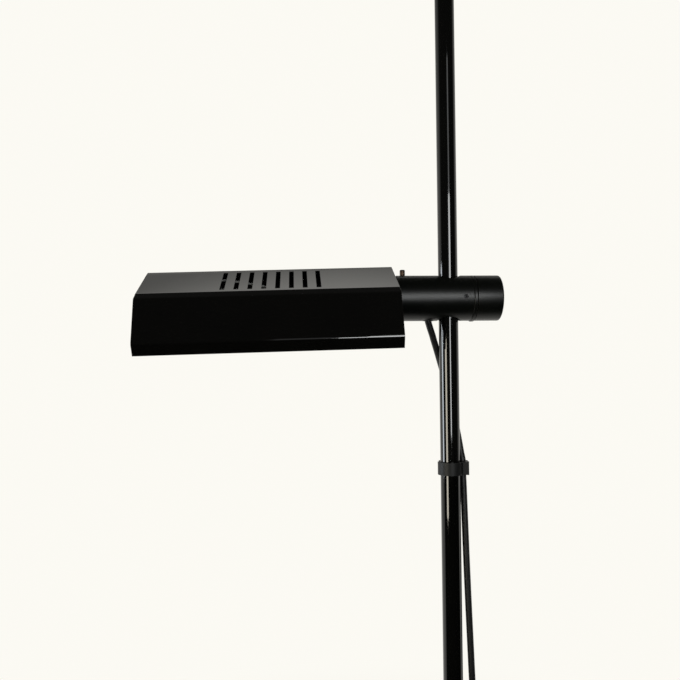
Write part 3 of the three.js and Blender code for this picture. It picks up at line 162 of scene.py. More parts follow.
class Finish(Nodes):
    """A surface finish being mixed from nodes."""

    def __init__(self, name):
        self.material = bpy.data.materials.new(name)
        self.material.use_nodes = True
        super().__init__(self.material.node_tree)
        self.shader = self.tree.nodes["Principled BSDF"]

    def spot(self, stretch=(1.0, 1.0, 1.0)):
        """The place on the piece, in metres, stretched along the axes."""
        place = self.node("TexCoord", output="Object")
        return self.node("Mapping", inputs={"Vector": place, "Scale": stretch})

    def cloud(self, size, detail, stretch=(1.0, 1.0, 1.0)):
        """Soft noise around a half, with lumps of the given size in metres."""
        inputs = {"Vector": self.spot(stretch), "Scale": 1 / size, "Detail": detail}
        return self.node("TexNoise", inputs=inputs)

    def specks(self, size, share):
        """1 on small scattered round specks, 0 elsewhere. share is how much of a cell one fills."""
        inputs = {"Vector": self.spot(), "Scale": 1 / size}
        away = self.node("TexVoronoi", inputs=inputs, output="Distance")
        return 1 - away.between(share * 0.6, share)

    def blend(self, share, first, second):
        """A colour between two, by a share that may vary."""
        inputs = {0: share, 6: first, 7: second}
        return self.node("Mix", {"data_type": "RGBA"}, inputs, output=2)

    def tint(self, share, first, second):
        """A colour between two that are written as six hexadecimal digits."""
        return self.blend(share, ink(first), ink(second))

    def relief(self, height, depth, **under):
        """A normal that follows a height from 0 to 1, depth metres deep, on top of another."""
        return self.node("Bump", inputs={"Height": height, "Distance": depth, **under})

    def pour(self, colour, roughness, **others):
        """Sets or links the shader's sockets. An underscore stands for a space."""
        sockets = {"Base_Color": colour, "Roughness": roughness, **others}
        for name, value in sockets.items():
            self.plug(self.shader.inputs[name.replace("_", " ")], value)
        return self.material


def ink(code):
    """A colour written as six hexadecimal digits, as the shader wants it."""
    parts = [int(code[i : i + 2], 16) / 255 for i in (0, 2, 4)]
    return (*[p / 12.92 if p <= 0.04045 else ((p + 0.055) / 1.055) ** 2.4 for p in parts], 1.0)


def flex_pvc():
    """Soft black PVC: a satin skin with a faint drawn grain and a little dust."""
    made = Finish("flex_pvc")
    dust = made.cloud(0.02, 4)
    grain = made.cloud(0.0006, 3)
    colour = made.tint(dust.between(0.45, 0.8), "070708", "0f0f10")
    roughness = 0.36 + 0.12 * dust + 0.06 * grain
    skin = made.relief(grain, 0.000012)
    return made.pour(colour, roughness, IOR=1.5, Specular_IOR_Level=0.35, Normal=skin)


FLEX_RADIUS = 0.0034
ARM_HEIGHT = 1.25
LOW_CLIP = 0.064

black_flex = flex_pvc()


def millimetres(points, height=0.0):
    """A route written in millimetres, raised by a height in metres."""
    return [Vector((x, y, z)) / 1000 + Vector((0, 0, height)) for x, y, z in points]


def smooth_line(name, points, radius, rings=8, sides=10):
    """A round line through the points, as a curve of one open spline with closed ends."""
    curve = bpy.data.curves.new(name, "CURVE")
    curve.dimensions = "3D"
    curve.resolution_u = rings
    curve.bevel_depth = radius
    curve.bevel_resolution = sides
    curve.use_fill_caps = True
    spline = curve.splines.new("BEZIER")
    spline.bezier_points.add(len(points) - 1)
    for i, (knot, point) in enumerate(zip(spline.bezier_points, points)):
        before, after = points[max(i - 1, 0)], points[min(i + 1, len(points) - 1)]
        knot.co = point
        knot.handle_left = point - (after - before) / 6
        knot.handle_right = point + (after - before) / 6
    return placed(name, curve)


def centreline(line, steps=8):
    """The points that a smooth line runs through, close together."""
    knots = line.data.splines[0].bezier_points
    run = [knots[0].co.copy()]
    for a, b in zip(knots, knots[1:]):
        run += interpolate_bezier(a.co, a.handle_right, b.handle_left, b.co, steps + 1)[1:]
    return run


def run_length(run):
    return sum((b - a).length for a, b in zip(run, run[1:]))


def worked(thing):
    """The mesh that a curve, or a blank with a cut in it, comes to."""
    return bpy.data.meshes.new_from_object(thing.evaluated_get(bpy.context.evaluated_depsgraph_get()))


def settle(made, keen=35, outward=True):
    """A finished mesh, with its faces outwards and its sharp edges kept."""
    if outward:
        bmesh.ops.recalc_face_normals(made, faces=made.faces)
    for face in made.faces:
        face.smooth = True
    mesh = bpy.data.meshes.new("mesh")
    made.to_mesh(mesh)
    made.free()
    mesh.set_sharp_from_angle(angle=math.radians(keen))
    return mesh


def as_mesh(line):
    """Turns a curve into a mesh piece of the same name."""
    name, curve = line.name, line.data
    tube = bmesh.new()
    tube.from_mesh(worked(line))
    bmesh.ops.remove_doubles(tube, verts=tube.verts, dist=1e-7)
    bpy.data.objects.remove(line)
    bpy.data.curves.remove(curve)
    return placed(name, settle(tube, 40, outward=False))


def dress(piece, finish, body, slot, *nodes):
    """Gives a piece its finish and the body it moves with, and hides the solids that it stands for."""
    piece.data.materials.clear()
    piece.data.materials.append(finish)
    if body is not None:
        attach(piece, body)
    if nodes:
        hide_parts(*nodes)
    return piece


arm_route = millimetres([
    (-21.9, 0, -8.6), (-21.9, 0, -14), (-21.7, 0, -19.2), (-21.2, 0.3, -23.2), (-20, 1.4, -27),
    (-18.1, 2.9, -32.4), (-16.1, 4.5, -37.6), (-14.4, 6.2, -42.7), (-12.5, 8, -47.9),
    (-9.2, 10.7, -57.5), (-5.2, 12.8, -70.4), (-2.15, 13.9, -80), (0.3, 14.1, -90),
], ARM_HEIGHT)
slant_route = millimetres([
    (0.37, 14.1, -90.3), (2.6, 13.9, -100), (4.8, 13.3, -110), (6.8, 12.4, -120), (8.8, 11, -131.7),
    (10.4, 9.5, -142), (11.7, 7.5, -152), (12.6, 5.6, -160),
], ARM_HEIGHT)
pole_route = millimetres([
    (12.64, 5.53, -160.3), (13.4, 4.0, -165.5), (13.55, 3.8, -170), (13.65, 3.6, -176),
    (13.75, 3.3, -184), (14, 2.8, -194), (14.6, 1.7, -225), (15.6, 0.8, -268), (16.9, 0.8, -309),
    (18.5, 1.5, -350), (19.5, 2.1, -375), (22, 4, -440), (24.2, 6.6, -550), (24.4, 9.6, -680),
    (22, 12.4, -810), (17.6, 14.2, -930), (12.4, 14.8, -1040), (8.2, 13.9, -1120),
], ARM_HEIGHT)
pole_route += millimetres([
    (6.05, 13, 20), (5.85, 12.9, 10), (5.85, 13, 1), (5.95, 14.6, -8), (6.3, 19.4, -20),
    (6.9, 28.5, -32), (7.8, 42, -39.4), (8.8, 60, -41.9), (10.2, 85, -42), (12, 110, -41.9),
    (14.1, 134, -41.6), (15.2, 145, -43), (16, 153.5, -47), (16.5, 160.5, -52.4), (16.4, 168, -57),
    (15, 176, -59), (11.5, 184.5, -59.4), (6.4, 191.6, -58.4), (0.4, 196.6, -56.4),
    (-6.2, 199.6, -54.6), (-13.2, 200, -54),
], LOW_CLIP)

for name, node, route, upper, lower, start, end in (
    ("flex_from_arm", "flex_upper", arm_route, "arm", "carriage", -0.023, -0.090),
    ("flex_to_upper_clip", "flex_middle", slant_route, "carriage", "stand", -0.0903, -0.160),
):
    line = smooth_line(name, route, FLEX_RADIUS)
    run = centreline(line)
    tube = as_mesh(line)
    ARM_HEIGHT + end
    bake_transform(tube)
    dress(tube, black_flex, None, "cord_black", node)

hanging = smooth_line("flex_down_pole", pole_route, FLEX_RADIUS)
dress(hanging, black_flex, "stand", "cord_black", "flex_lower")
run_length(centreline(hanging))

# ------------------------------------------------------------------ coil
# The rest of the flex, from the foot switch to the plug, is wound into a neat coil of two layers:
# three turns in on the floor, a step up, and three turns out again on top.

SWITCH_CENTRE = Vector((-0.076, 0.200, 0.0))
NOZZLE_END = 0.062
SEAT_GAP = 0.0003
COIL_RADIUS = 0.0462
COIL_TURNS = 6.25
COIL_WINDING_IN = 3.1
COIL_STEP_UP = (2.95, 3.3)
COIL_POINTS_PER_TURN = 16
BOTTOM_LAYER = 0.0048
TOP_LAYER = 0.0116

coil_centre = Vector((-0.180, SWITCH_CENTRE.y - COIL_RADIUS, 0.0))


def coil_winding():
    """The points of the wound part, from the outermost turn in and out again."""
    points = []
    for i in range(round(COIL_TURNS * COIL_POINTS_PER_TURN) + 1):
        turn = i / COIL_POINTS_PER_TURN
        wound = min(turn, COIL_WINDING_IN, COIL_TURNS - turn)
        radius = COIL_RADIUS - 2 * FLEX_RADIUS * wound
        share = (turn - COIL_STEP_UP[0]) / (COIL_STEP_UP[1] - COIL_STEP_UP[0])
        share = min(max(share, 0.0), 1.0)
        lift = BOTTOM_LAYER + (TOP_LAYER - BOTTOM_LAYER) * share * share * (3 - 2 * share)
        angle = math.pi / 2 + turn * 2 * math.pi
        points.append(coil_centre + Vector((radius * math.cos(angle), radius * math.sin(angle), lift)))
    return points


plug_low, plug_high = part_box("plug_body")
plug_x = (plug_low.x + plug_high.x) / 2
plug_z = (plug_low.z + plug_high.z) / 2
nozzle_x = SWITCH_CENTRE.x - NOZZLE_END
coil_route = [
    Vector((nozzle_x - away, SWITCH_CENTRE.y, height))
    for away, height in ((0.0006, 0.0100), (0.0060, 0.0094), (0.0150, 0.0070), (0.0280, 0.0052))
]
coil_route += coil_winding() + [
    Vector((plug_x, coil_centre.y - 0.010, TOP_LAYER - 0.0012)),
    Vector((plug_x, coil_centre.y - 0.019, plug_z + 0.0008)),
    Vector((plug_x, plug_high.y + SEAT_GAP, plug_z)),
]
coil = smooth_line("flex_coil_and_plug_lead", coil_route, FLEX_RADIUS, rings=6)
dress(coil, black_flex, "stand", "cord_black", "flex_to_coil", "flex_coil")

# ------------------------------------------------------------------ base
# The lamp stands on a heavy cast disc, powder coated in black, with a thin rubber pad stuck under
# it. One cap screw comes up through the middle and pulls the pole's foot down on the disc.


def powder_black():
    """Black powder coating on cast iron: a fine leather-like texture with a soft sheen."""
    made = Finish("powder_black")
    pebble = made.cloud(0.0011, 2)
    casting = made.cloud(0.03, 3)
    roughness = 0.42 + 0.10 * made.cloud(0.11, 2) + 0.06 * pebble
    leather = made.relief(pebble + 0.4 * casting, 0.00006)
    return made.pour(made.tint(casting, "0d0e0e", "141515"), roughness, IOR=1.5, Normal=leather)


def grained(name, lumps, grain, first, second, rough, depth, **others):
    """A finish of two tones in soft lumps, with a fine grain. rough is the least roughness, then
    what the lumps and the grain add to it. Without a grain of its own, the lumps stand out."""
    made = Finish(name)
    lump = made.cloud(*lumps)
    fine = made.cloud(*grain) if grain else lump
    roughness, *shares = rough
    for share, part in zip(shares, (lump, fine)):
        if share:
            roughness = roughness + share * part
    skin = made.relief(fine, depth)
    return made.pour(made.tint(lump, first, second), roughness, Normal=skin, **others)


def turned(profile, steps=96, closed=False):
    """A turned piece: (radius, height) points joined in order and spun once round Z."""
    made = bmesh.new()
    points = [made.verts.new((radius, 0.0, height)) for radius, height in profile]
    for a, b in zip(points, points[1:]):
        made.edges.new((a, b))
    if closed:
        made.edges.new((points[-1], points[0]))
    bmesh.ops.spin(made, geom=made.verts[:] + made.edges[:], cent=(0, 0, 0), axis=(0, 0, 1),
                   angle=2 * math.pi, steps=steps, use_merge=True)
    bmesh.ops.remove_doubles(made, verts=made.verts, dist=1e-7)
    return made


def rod(radius, low, high, steps=64):
    """A round bar along Z."""
    return turned([(0, low), (radius, low), (radius, high), (0, high)], steps)


def piece(name, made, finish, body, slot, node, easing=0.0003, steps=3, sharper=35, outward=True):
    """A new piece from a bmesh, with its edges eased, its finish on, and riding on its body."""
    shown = placed(name, settle(made, outward=outward))
    shown.data.name = name
    if easing:
        eased = shown.modifiers.new("eased edges", "BEVEL")
        eased.width = easing
        eased.segments = steps
        eased.limit_method = "ANGLE"
        eased.angle_limit = math.radians(sharper)
        eased.harden_normals = True
    return dress(shown, finish, body, slot, *([node] if node else []))


BASE_EASE = 0.0018
BOLT_CLEARANCE = 0.0006
BOLT_RADIUS = 0.0047
BOLT_HEAD = 0.0064

base_low, base_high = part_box("base_plate")
bolt_low, bolt_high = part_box("base_bolt")
foot_low, foot_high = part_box("pole_foot")
bolt_head = bolt_high.x + BOLT_CLEARANCE
bolt_shank = BOLT_RADIUS + BOLT_CLEARANCE
bolt_seat = bolt_low.z + BOLT_HEAD + BOLT_CLEARANCE

base_disc = turned([
    (bolt_head, base_low.z), (base_high.x, base_low.z), (base_high.x, base_high.z),
    (bolt_shank, base_high.z), (bolt_shank, bolt_seat), (bolt_head, bolt_seat),
], 160, closed=True)
piece("base_disc", base_disc, powder_black(), "stand", "cast_iron", "base_plate", BASE_EASE, 5)

pad_low, pad_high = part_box("foot_pad")
# dull black rubber with a fine matt grain and a bloom of dust
rubber = grained("black_rubber", (0.015, 3), (0.0008, 3), "121212", "1d1c1b", (0.72, 0, 0.2), 0.00004,
                 IOR=1.5)
base_pad = rod(pad_high.x, pad_low.z, pad_high.z, 128)
piece("base_pad", base_pad, rubber, "stand", "rubber", "foot_pad", 0.0004, 2)

# ------------------------------------------------------------------ pole
# Two lengths of 20 mm steel tube, joined end to end over a plug, in gloss black enamel. The foot
# plug's rim shows as a thin ring at the base, and a shallow cap closes the top.


def black_enamel(name, least, spread, sheen):
    """Stoved black enamel: deep, almost flat, with a faint peel and a few dust nibs."""
    made = Finish(name)
    colour = made.tint(made.cloud(0.06, 2), "030303", "060605")
    roughness = least + spread * made.cloud(0.018, 4).between(0.5, 0.9)
    peel = made.relief(made.cloud(0.0035, 1), 0.0000016)
    nibs = made.relief(made.specks(0.016, 0.018), 0.00001, Normal=peel)
    return made.pour(colour, roughness, IOR=1.45, Specular_IOR_Level=sheen, Normal=nibs)


def ring(inner, outer, low, high, steps=96):
    """A length of tube, or a washer, along Z."""
    return turned([(inner, low), (outer, low), (outer, high), (inner, high)], steps, closed=True)


def round_rim(radius, top, rounding, steps=6):
    """The quarter round by which the side of a turned piece runs into its top."""
    turns = [math.pi / 2 * k / steps for k in range(steps + 1)]
    return [(radius - rounding * (1 - math.cos(t)), top - rounding * (1 - math.sin(t))) for t in turns]


POLE_RADIUS = 0.010
POLE_BORE = 0.0085
TUBE_EASE = 0.00035
CAP_ROUND = 0.0010
CAP_DEPTH = 0.003
FOOT_RIM = 0.003
FOOT_THREAD = 0.005
FOOT_WEB = 0.002

enamel = black_enamel("gloss_enamel", 0.045, 0.05, 0.5)
# zinc-plated steel: bright grey, with a fine drawn grain and duller patches
steel = grained("bright_steel", (0.006, 3), (0.0004, 3), "a3a4a4", "c4c4c0", (0.26, 0.16, 0.06),
                0.000004, Metallic=1.0)
for name, node in (("pole_lower_tube", "pole_lower"), ("pole_upper_tube", "pole_upper")):
    low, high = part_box(node)
    tube = ring(POLE_BORE, POLE_RADIUS, low.z, high.z, 144)
    piece(name, tube, enamel, "stand", "gloss_black", node, TUBE_EASE)

cap_low, cap_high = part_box("pole_cap")
spigot = POLE_BORE - SEAT_GAP
cap_seat = cap_high.z - CAP_DEPTH
pole_cap = turned([
    (0, cap_low.z), (spigot, cap_low.z), (spigot, cap_seat), (POLE_RADIUS, cap_seat),
    *round_rim(POLE_RADIUS, cap_high.z, CAP_ROUND), (0, cap_high.z),
])
piece("pole_end_cap", pole_cap, enamel, "stand", "gloss_black", "pole_cap")

rim_top = foot_low.z + FOOT_RIM
thread_top = foot_high.z - FOOT_WEB
pole_foot = turned([
    (0, thread_top), (FOOT_THREAD, thread_top), (FOOT_THREAD, foot_low.z), (POLE_RADIUS, foot_low.z),
    (POLE_RADIUS, rim_top), (spigot, rim_top), (spigot, foot_high.z), (0, foot_high.z),
])
piece("pole_foot_plug", pole_foot, steel, "stand", "steel", "pole_foot", TUBE_EASE)

# ------------------------------------------------------------------ cord clips
# A moulded black clip snaps round the pole at two heights. It has a band for the pole, a loop for
# the flex behind it, and a squarish lug to push it on with. It is ejected with a fine matt grain.


def moulded_black():
    """Black moulded plastic: spark-eroded matt texture, faint flow marks and rubbed edges."""
    made = Finish("moulded_black")
    spark = made.cloud(0.0005, 2)
    rubbed = made.cloud(0.004, 4).between(0.55, 0.8)
    colour = made.tint(made.cloud(0.012, 2), "090a0a", "0e0f0f")
    roughness = 0.42 + 0.1 * spark - 0.08 * rubbed
    matt = made.relief(spark, 0.00002)
    return made.pour(colour, roughness, IOR=1.5, Specular_IOR_Level=0.22, Normal=matt)


def carve(body, *tools, how="DIFFERENCE"):
    """Cuts the tools' shapes out of a shape, or joins them to it, and gives the result."""
    made = placed("blank", settle(body))
    for tool in tools:
        cutter = placed("tool", settle(tool))
        cut = made.modifiers.new("cut", "BOOLEAN")
        cut.operation = how
        cut.solver = "EXACT"
        cut.object = cutter
        whole = worked(made)
        made.modifiers.remove(cut)
        made.data = whole
        bpy.data.objects.remove(cutter)
    shape = bmesh.new()
    shape.from_mesh(made.data)
    bpy.data.objects.remove(made)
    bmesh.ops.remove_doubles(shape, verts=shape.verts, dist=1e-6)
    return shape


def moved(made, x=0.0, y=0.0, z=0.0):
    bmesh.ops.translate(made, vec=(x, y, z), verts=made.verts)
    return made


def spun(made, angle):
    bmesh.ops.rotate(made, cent=(0, 0, 0), matrix=Matrix.Rotation(angle, 3, "Z"), verts=made.verts)
    return made


def box(x0, x1, y0, y1, z0, z1):
    """A block between two corners."""
    made = bmesh.new()
    bmesh.ops.create_cube(made, size=1.0)
    bmesh.ops.scale(made, vec=(x1 - x0, y1 - y0, z1 - z0), verts=made.verts)
    return moved(made, (x0 + x1) / 2, (y0 + y1) / 2, (z0 + z1) / 2)


def drawn_out(made, grown, way):
    """Moves what an extrusion has grown along a way."""
    far = [g for g in grown["geom"] if isinstance(g, bmesh.types.BMVert)]
    bmesh.ops.translate(made, vec=way, verts=far)


def raised(made, way):
    """A flat outline drawn out along a way into a solid."""
    drawn_out(made, bmesh.ops.extrude_face_region(made, geom=made.faces[:]), way)
    bmesh.ops.recalc_face_normals(made, faces=made.faces)
    return made


CLIP_BORE = POLE_RADIUS + SEAT_GAP
CLIP_WALL = 0.0026
CLIP_CORD = Vector((0.01362, 0.00379, 0.0))
CLIP_CORD_BORE = FLEX_RADIUS + 0.0009
CLIP_LOOP_WALL = 0.0013
CLIP_THROAT = 0.004
CLIP_SNAP_GAP = 0.007
CLIP_SNAP_TURN = math.radians(70)
CLIP_LUG = (0.010, 0.0189, -0.0034, 0.0030)
CLIP_LUG_TURN = math.radians(-12.3)
CLIP_EASE = 0.00045
LOW_CLIP_TURN = math.radians(50)
SHORTEST_EDGE = 0.00015


def flat_outline(made):
    """The underside of a thin slab as one face, without the slivers that cutting left."""
    made.normal_update()
    spare = [f for f in made.faces if f.normal.z > -0.5]
    bmesh.ops.delete(made, geom=spare, context="FACES")
    bmesh.ops.remove_doubles(made, verts=made.verts, dist=SHORTEST_EDGE)
    bmesh.ops.dissolve_faces(made, faces=made.faces)
    bmesh.ops.delete(made, geom=[e for e in made.edges if e.is_wire], context="EDGES")
    return made


def cord_clip(low, high):
    """A clip between two heights. Its outline is cut as a thin slab and then drawn up."""
    through = (-0.001, 0.002)
    flat = (0.0, 0.001)
    lug = spun(box(*CLIP_LUG, *flat), CLIP_LUG_TURN)
    loop = moved(rod(CLIP_CORD_BORE + CLIP_LOOP_WALL, *flat), *CLIP_CORD)
    joined = carve(rod(CLIP_BORE + CLIP_WALL, *flat, 96), loop, lug, how="UNION")
    throat = box(POLE_RADIUS / 2, CLIP_CORD.length, -CLIP_THROAT / 2, CLIP_THROAT / 2, *through)
    snap = box(-CLIP_SNAP_GAP / 2, CLIP_SNAP_GAP / 2, 0, 2 * POLE_RADIUS, *through)
    clip = flat_outline(carve(
        joined,
        rod(CLIP_BORE, *through, 96),
        moved(rod(CLIP_CORD_BORE, *through), *CLIP_CORD),
        spun(throat, math.atan2(CLIP_CORD.y, CLIP_CORD.x)),
        spun(snap, CLIP_SNAP_TURN),
    ))
    for vert in clip.verts:
        vert.co.z = low
    return raised(clip, (0, 0, high - low))


black_mould = moulded_black()
for name, node, turn in (
    ("upper_cord_clip", "cable_clip_upper", 0.0),
    ("lower_cord_clip", "cable_clip_lower", LOW_CLIP_TURN),
):
    low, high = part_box(node)
    clip = spun(cord_clip(low.z, high.z), turn)
    piece(name, clip, black_mould, "stand", "black_plastic", node, CLIP_EASE)

# ------------------------------------------------------------------ arm
# The arm is a short length of 47 mm steel tube, cross-bored for the pole, for the flex and for two
# screws, and powder coated in fine satin black. It slides on the pole on two bushes.


def satin_powder():
    """Fine satin-black powder coating: a soft broad sheen over a tight orange peel."""
    made = Finish("satin_powder")
    peel = made.cloud(0.0009, 2)
    drift = made.cloud(0.03, 2)
    colour = made.tint(drift, "020302", "050604")
    roughness = 0.30 + 0.05 * drift + 0.03 * peel
    nibs = made.relief(made.specks(0.009, 0.02), 0.00001, Normal=made.relief(peel, 0.000009))
    return made.pour(colour, roughness, IOR=1.5, Specular_IOR_Level=0.25, Normal=nibs)


ALONG_X = Matrix.Rotation(math.pi / 2, 4, "Y")
ALONG_Y = Matrix.Rotation(-math.pi / 2, 4, "X")


def joint(name):
    """A joint of the frame by its name."""
    return next(row for row in frame["joints"] if row["name"] == name)


def laid(made, turn, x=0.0, y=0.0, z=0.0):
    """A piece turned over from the Z axis on to another, and moved."""
    bmesh.ops.transform(made, matrix=Matrix.Translation((x, y, z)) @ turn, verts=made.verts)
    return made


ARM_RADIUS = 0.02337
ARM_BORE = 0.02137
ARM_SHORTER = 0.0016
POLE_HOLE = 0.0125
CORD_HOLE = 0.0057
CORD_HOLE_X = -0.0213
STUD_HOLE = 0.0019
STUD_FROM_PIVOT = 0.0006
GRUB_HOLE = 0.0023
GRUB_X = 0.0133

tilt = joint("head_tilt")
pivot = Vector(tilt["pos_m"])
arm_low, arm_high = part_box("arm_tube")
barrel_end = arm_high.x - ARM_SHORTER
stud_x = pivot.x + STUD_FROM_PIVOT
reach = 1.2 * ARM_RADIUS
arm_tube = carve(
    laid(ring(ARM_BORE, ARM_RADIUS, arm_low.x, barrel_end, 160), ALONG_X, z=ARM_HEIGHT),
    rod(POLE_HOLE, ARM_HEIGHT - reach, ARM_HEIGHT + reach, 96),
    moved(rod(CORD_HOLE, ARM_HEIGHT - reach, ARM_HEIGHT), CORD_HOLE_X),
    moved(rod(STUD_HOLE, ARM_HEIGHT, ARM_HEIGHT + reach, 32), stud_x),
    laid(rod(GRUB_HOLE, -reach, 0, 40), ALONG_Y, GRUB_X, 0, ARM_HEIGHT),
)
satin = satin_powder()
piece("arm_barrel", arm_tube, satin, "arm", "satin_black", "arm_tube", 0.00025)

# ------------------------------------------------------------------ clamp knob
# The knob is a turned and powder-coated cup as wide as the arm, with a rounded end. It turns the
# clamp screw inside the arm. A loose thin washer runs between the two and hangs a little low.

KNOB_ROUND = 0.0016
KNOB_WALL = 0.0022
KNOB_END = 0.003
HUB_RADIUS = 0.008
HUB_LEFT = 0.0257
HUB_BORE = 0.0043
HUB_DEPTH = 0.014
WASHER_BORE = 0.0108
RING_PROUD = 0.0003
RING_BEVEL = 0.0007
RING_FROM_ARM = 0.00005
RING_FROM_KNOB = 0.0004

knob_low, knob_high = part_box("clamp_knob")
knob_floor = knob_high.x - KNOB_END
knob_cup = turned([
    (0, HUB_LEFT + HUB_DEPTH), (HUB_BORE, HUB_LEFT + HUB_DEPTH), (HUB_BORE, HUB_LEFT),
    (HUB_RADIUS, HUB_LEFT), (HUB_RADIUS, knob_floor), (ARM_RADIUS - KNOB_WALL, knob_floor),
    (ARM_RADIUS - KNOB_WALL, knob_low.x), (ARM_RADIUS, knob_low.x),
    *round_rim(ARM_RADIUS, knob_high.x, KNOB_ROUND, 8), (ARM_RADIUS / 2, knob_high.x),
    (0, knob_high.x),
], 160)
knob_cup = laid(knob_cup, ALONG_X, z=ARM_HEIGHT)
piece("knob_cup", knob_cup, satin, "knob", "satin_black", "clamp_knob")

washer_low, washer_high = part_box("knob_washer")
ring_left = barrel_end + RING_FROM_ARM
ring_right = washer_high.x - RING_FROM_KNOB
ring_radius = washer_high.y + RING_PROUD
knob_ring = turned([
    (WASHER_BORE, ring_left), (ring_radius - RING_BEVEL, ring_left),
    (ring_radius, ring_left + RING_BEVEL), (ring_radius, ring_right), (WASHER_BORE, ring_right),
], 160, closed=True)
knob_ring = laid(knob_ring, ALONG_X, z=(washer_low.z + washer_high.z) / 2)
piece("knob_ring", knob_ring, satin, "arm", "satin_black", "knob_washer", 0.00025)

# ------------------------------------------------------------------ shade
# The shade is one sheet of 1 mm steel folded four times, with eight vent slots sawn across its top.
# It is stoved in the same gloss black as the pole. A plate is welded inside each end, where the
# enamel falls thinner and duller.

DROOP = math.atan2(tilt["axis"][2], tilt["axis"][0])
LEAN = math.radians(25.94)
TO_HEAD = Matrix.Translation(pivot) @ Matrix.Rotation(-DROOP, 4, "Y") @ Matrix.Rotation(LEAN, 4, "X")
SHADE_NEAR = -0.00693
SHADE_FAR = -0.26183
NEAR_LIP = 0.0003
FAR_LIP = 0.0002
SHADE_WALL = 0.001
SHADE_TOP = 0.0225
SHADE_TOP_HALF = 0.0374
FRONT_CORNER = 0.0214
BACK_CORNER = 0.0221
LEVEL_FRONT = 0.026
LEVEL_BACK = 0.0300
SHADE_HALF = 0.06894
SLOPE_FOOT = -0.01145
RIM_FOOT = -0.02371
TOP_FOLD = 0.004
RIM_FOLD = 0.0047
PRESS_FOLD = 0.012
PLATE = 0.0015
PLATE_INSET = 0.0013
PLATE_HOLE = 0.0068
SLOTS = 8
SLOT_PITCH = 0.01353
SLOT_WIDTH = 0.0046
SLOT_SHIFT = 0.0014
SLOT_FRONT = -0.0212
SLOT_BACK = 0.0284


def folds(corners, radii, steps, hold=0.0004):
    """The outer line of a folded sheet: straight runs, and an arc at each inner corner. Points
    held close to the arcs keep the runs flat."""
    corners = [Vector(corner) for corner in corners]
    line = corners[:1]
    for before, corner, after, radius in zip(corners, corners[1:], corners[2:], radii):
        come = (corner - before).normalized()
        go = (after - corner).normalized()
        bend = come.angle_signed(go)
        start = corner - radius * math.tan(abs(bend) / 2) * come
        inward = Vector((come.y, -come.x))
        centre = start + radius * inward
        line.append(start - hold * come)
        for k in range(steps + 1):
            arm_out = -inward
            arm_out.rotate(Matrix.Rotation(-bend * k / steps, 2))
            line.append(centre + radius * arm_out)
        line.append(line[-1] + hold * go)
    return line + corners[-1:]


def shade_corners(inset):
    """The corners of the shade's section from the front rim over the top to the back rim. The top
    falls a little towards both folds, where the press has held it."""
    slant = inset * math.tan(math.pi / 8)
    side = SHADE_HALF - inset
    corner = SHADE_TOP_HALF - slant
    return [
        (-side, RIM_FOOT), (-side, SLOPE_FOOT - slant), (-corner, FRONT_CORNER - inset),
        (-LEVEL_FRONT, SHADE_TOP - inset), (LEVEL_BACK, SHADE_TOP - inset),
        (corner, BACK_CORNER - inset), (side, SLOPE_FOOT - slant), (side, RIM_FOOT),
    ]


def sheet(line, stations):
    """A sheet along X with the given section line, cut at the given stations."""
    made = bmesh.new()
    row = [made.verts.new((stations[0], p.x, p.y)) for p in line]
    rows = [made.edges.new(pair) for pair in zip(row, row[1:])]
    for here, there in zip(stations, stations[1:]):
        grown = bmesh.ops.extrude_edge_only(made, edges=rows)
        drawn_out(made, grown, (there - here, 0, 0))
        rows = [g for g in grown["geom"] if isinstance(g, bmesh.types.BMEdge)
                and all(abs(v.co.x - there) < 1e-7 for v in g.verts)]
    return made


def thicken(made, thickness):
    """Gives a sheet its thickness, towards its inner side."""
    bmesh.ops.recalc_face_normals(made, faces=made.faces)
    if sum(f.normal.z * f.calc_area() for f in made.faces) < 0:
        bmesh.ops.reverse_faces(made, faces=made.faces)
    bmesh.ops.solidify(made, geom=made.faces[:], thickness=thickness)
    return made


def in_head(made):
    """Tilts and moves a piece from the shade's own axes to its place."""
    bmesh.ops.transform(made, matrix=TO_HEAD, verts=made.verts)
    return made


middle = (SHADE_NEAR + SHADE_FAR) / 2
slots = [middle + SLOT_SHIFT + (i - (SLOTS - 1) / 2) * SLOT_PITCH for i in range(SLOTS)]
stations = [SHADE_FAR - FAR_LIP, SHADE_NEAR + NEAR_LIP]
stations[1:1] = [x + side * SLOT_WIDTH / 2 for x in slots for side in (-1, 1)]
fold_radii = [RIM_FOLD, TOP_FOLD, PRESS_FOLD, PRESS_FOLD, TOP_FOLD, RIM_FOLD]
shell = sheet(folds(shade_corners(0), fold_radii, 12), stations)
for y in (SLOT_FRONT, SLOT_BACK):
    whole = shell.verts[:] + shell.edges[:] + shell.faces[:]
    bmesh.ops.bisect_plane(shell, geom=whole, plane_co=(0, y, 0), plane_no=(0, 1, 0))
sawn = []
for face in shell.faces:
    at = face.calc_center_median()
    in_slot = any(abs(at.x - x) < SLOT_WIDTH / 2 for x in slots)
    if in_slot and SLOT_FRONT < at.y < SLOT_BACK and at.z > SHADE_TOP - 1e-4:
        sawn.append(face)
bmesh.ops.delete(shell, geom=sawn, context="FACES")
shell = in_head(thicken(shell, SHADE_WALL))
piece("shade_sheet", shell, enamel, "head", "gloss_black", "shade_shell", 0.00018, 2, 60)


def end_plate(x0, x1):
    """A plate of the shade's section, a little smaller so that it fits inside."""
    made = bmesh.new()
    line = folds(shade_corners(PLATE_INSET), [r - PLATE_INSET for r in fold_radii], 8, 0.0)
    made.faces.new([made.verts.new((x0, p.x, p.y)) for p in line])
    bmesh.ops.remove_doubles(made, verts=made.verts, dist=1e-6)
    return raised(made, (x1 - x0, 0, 0))


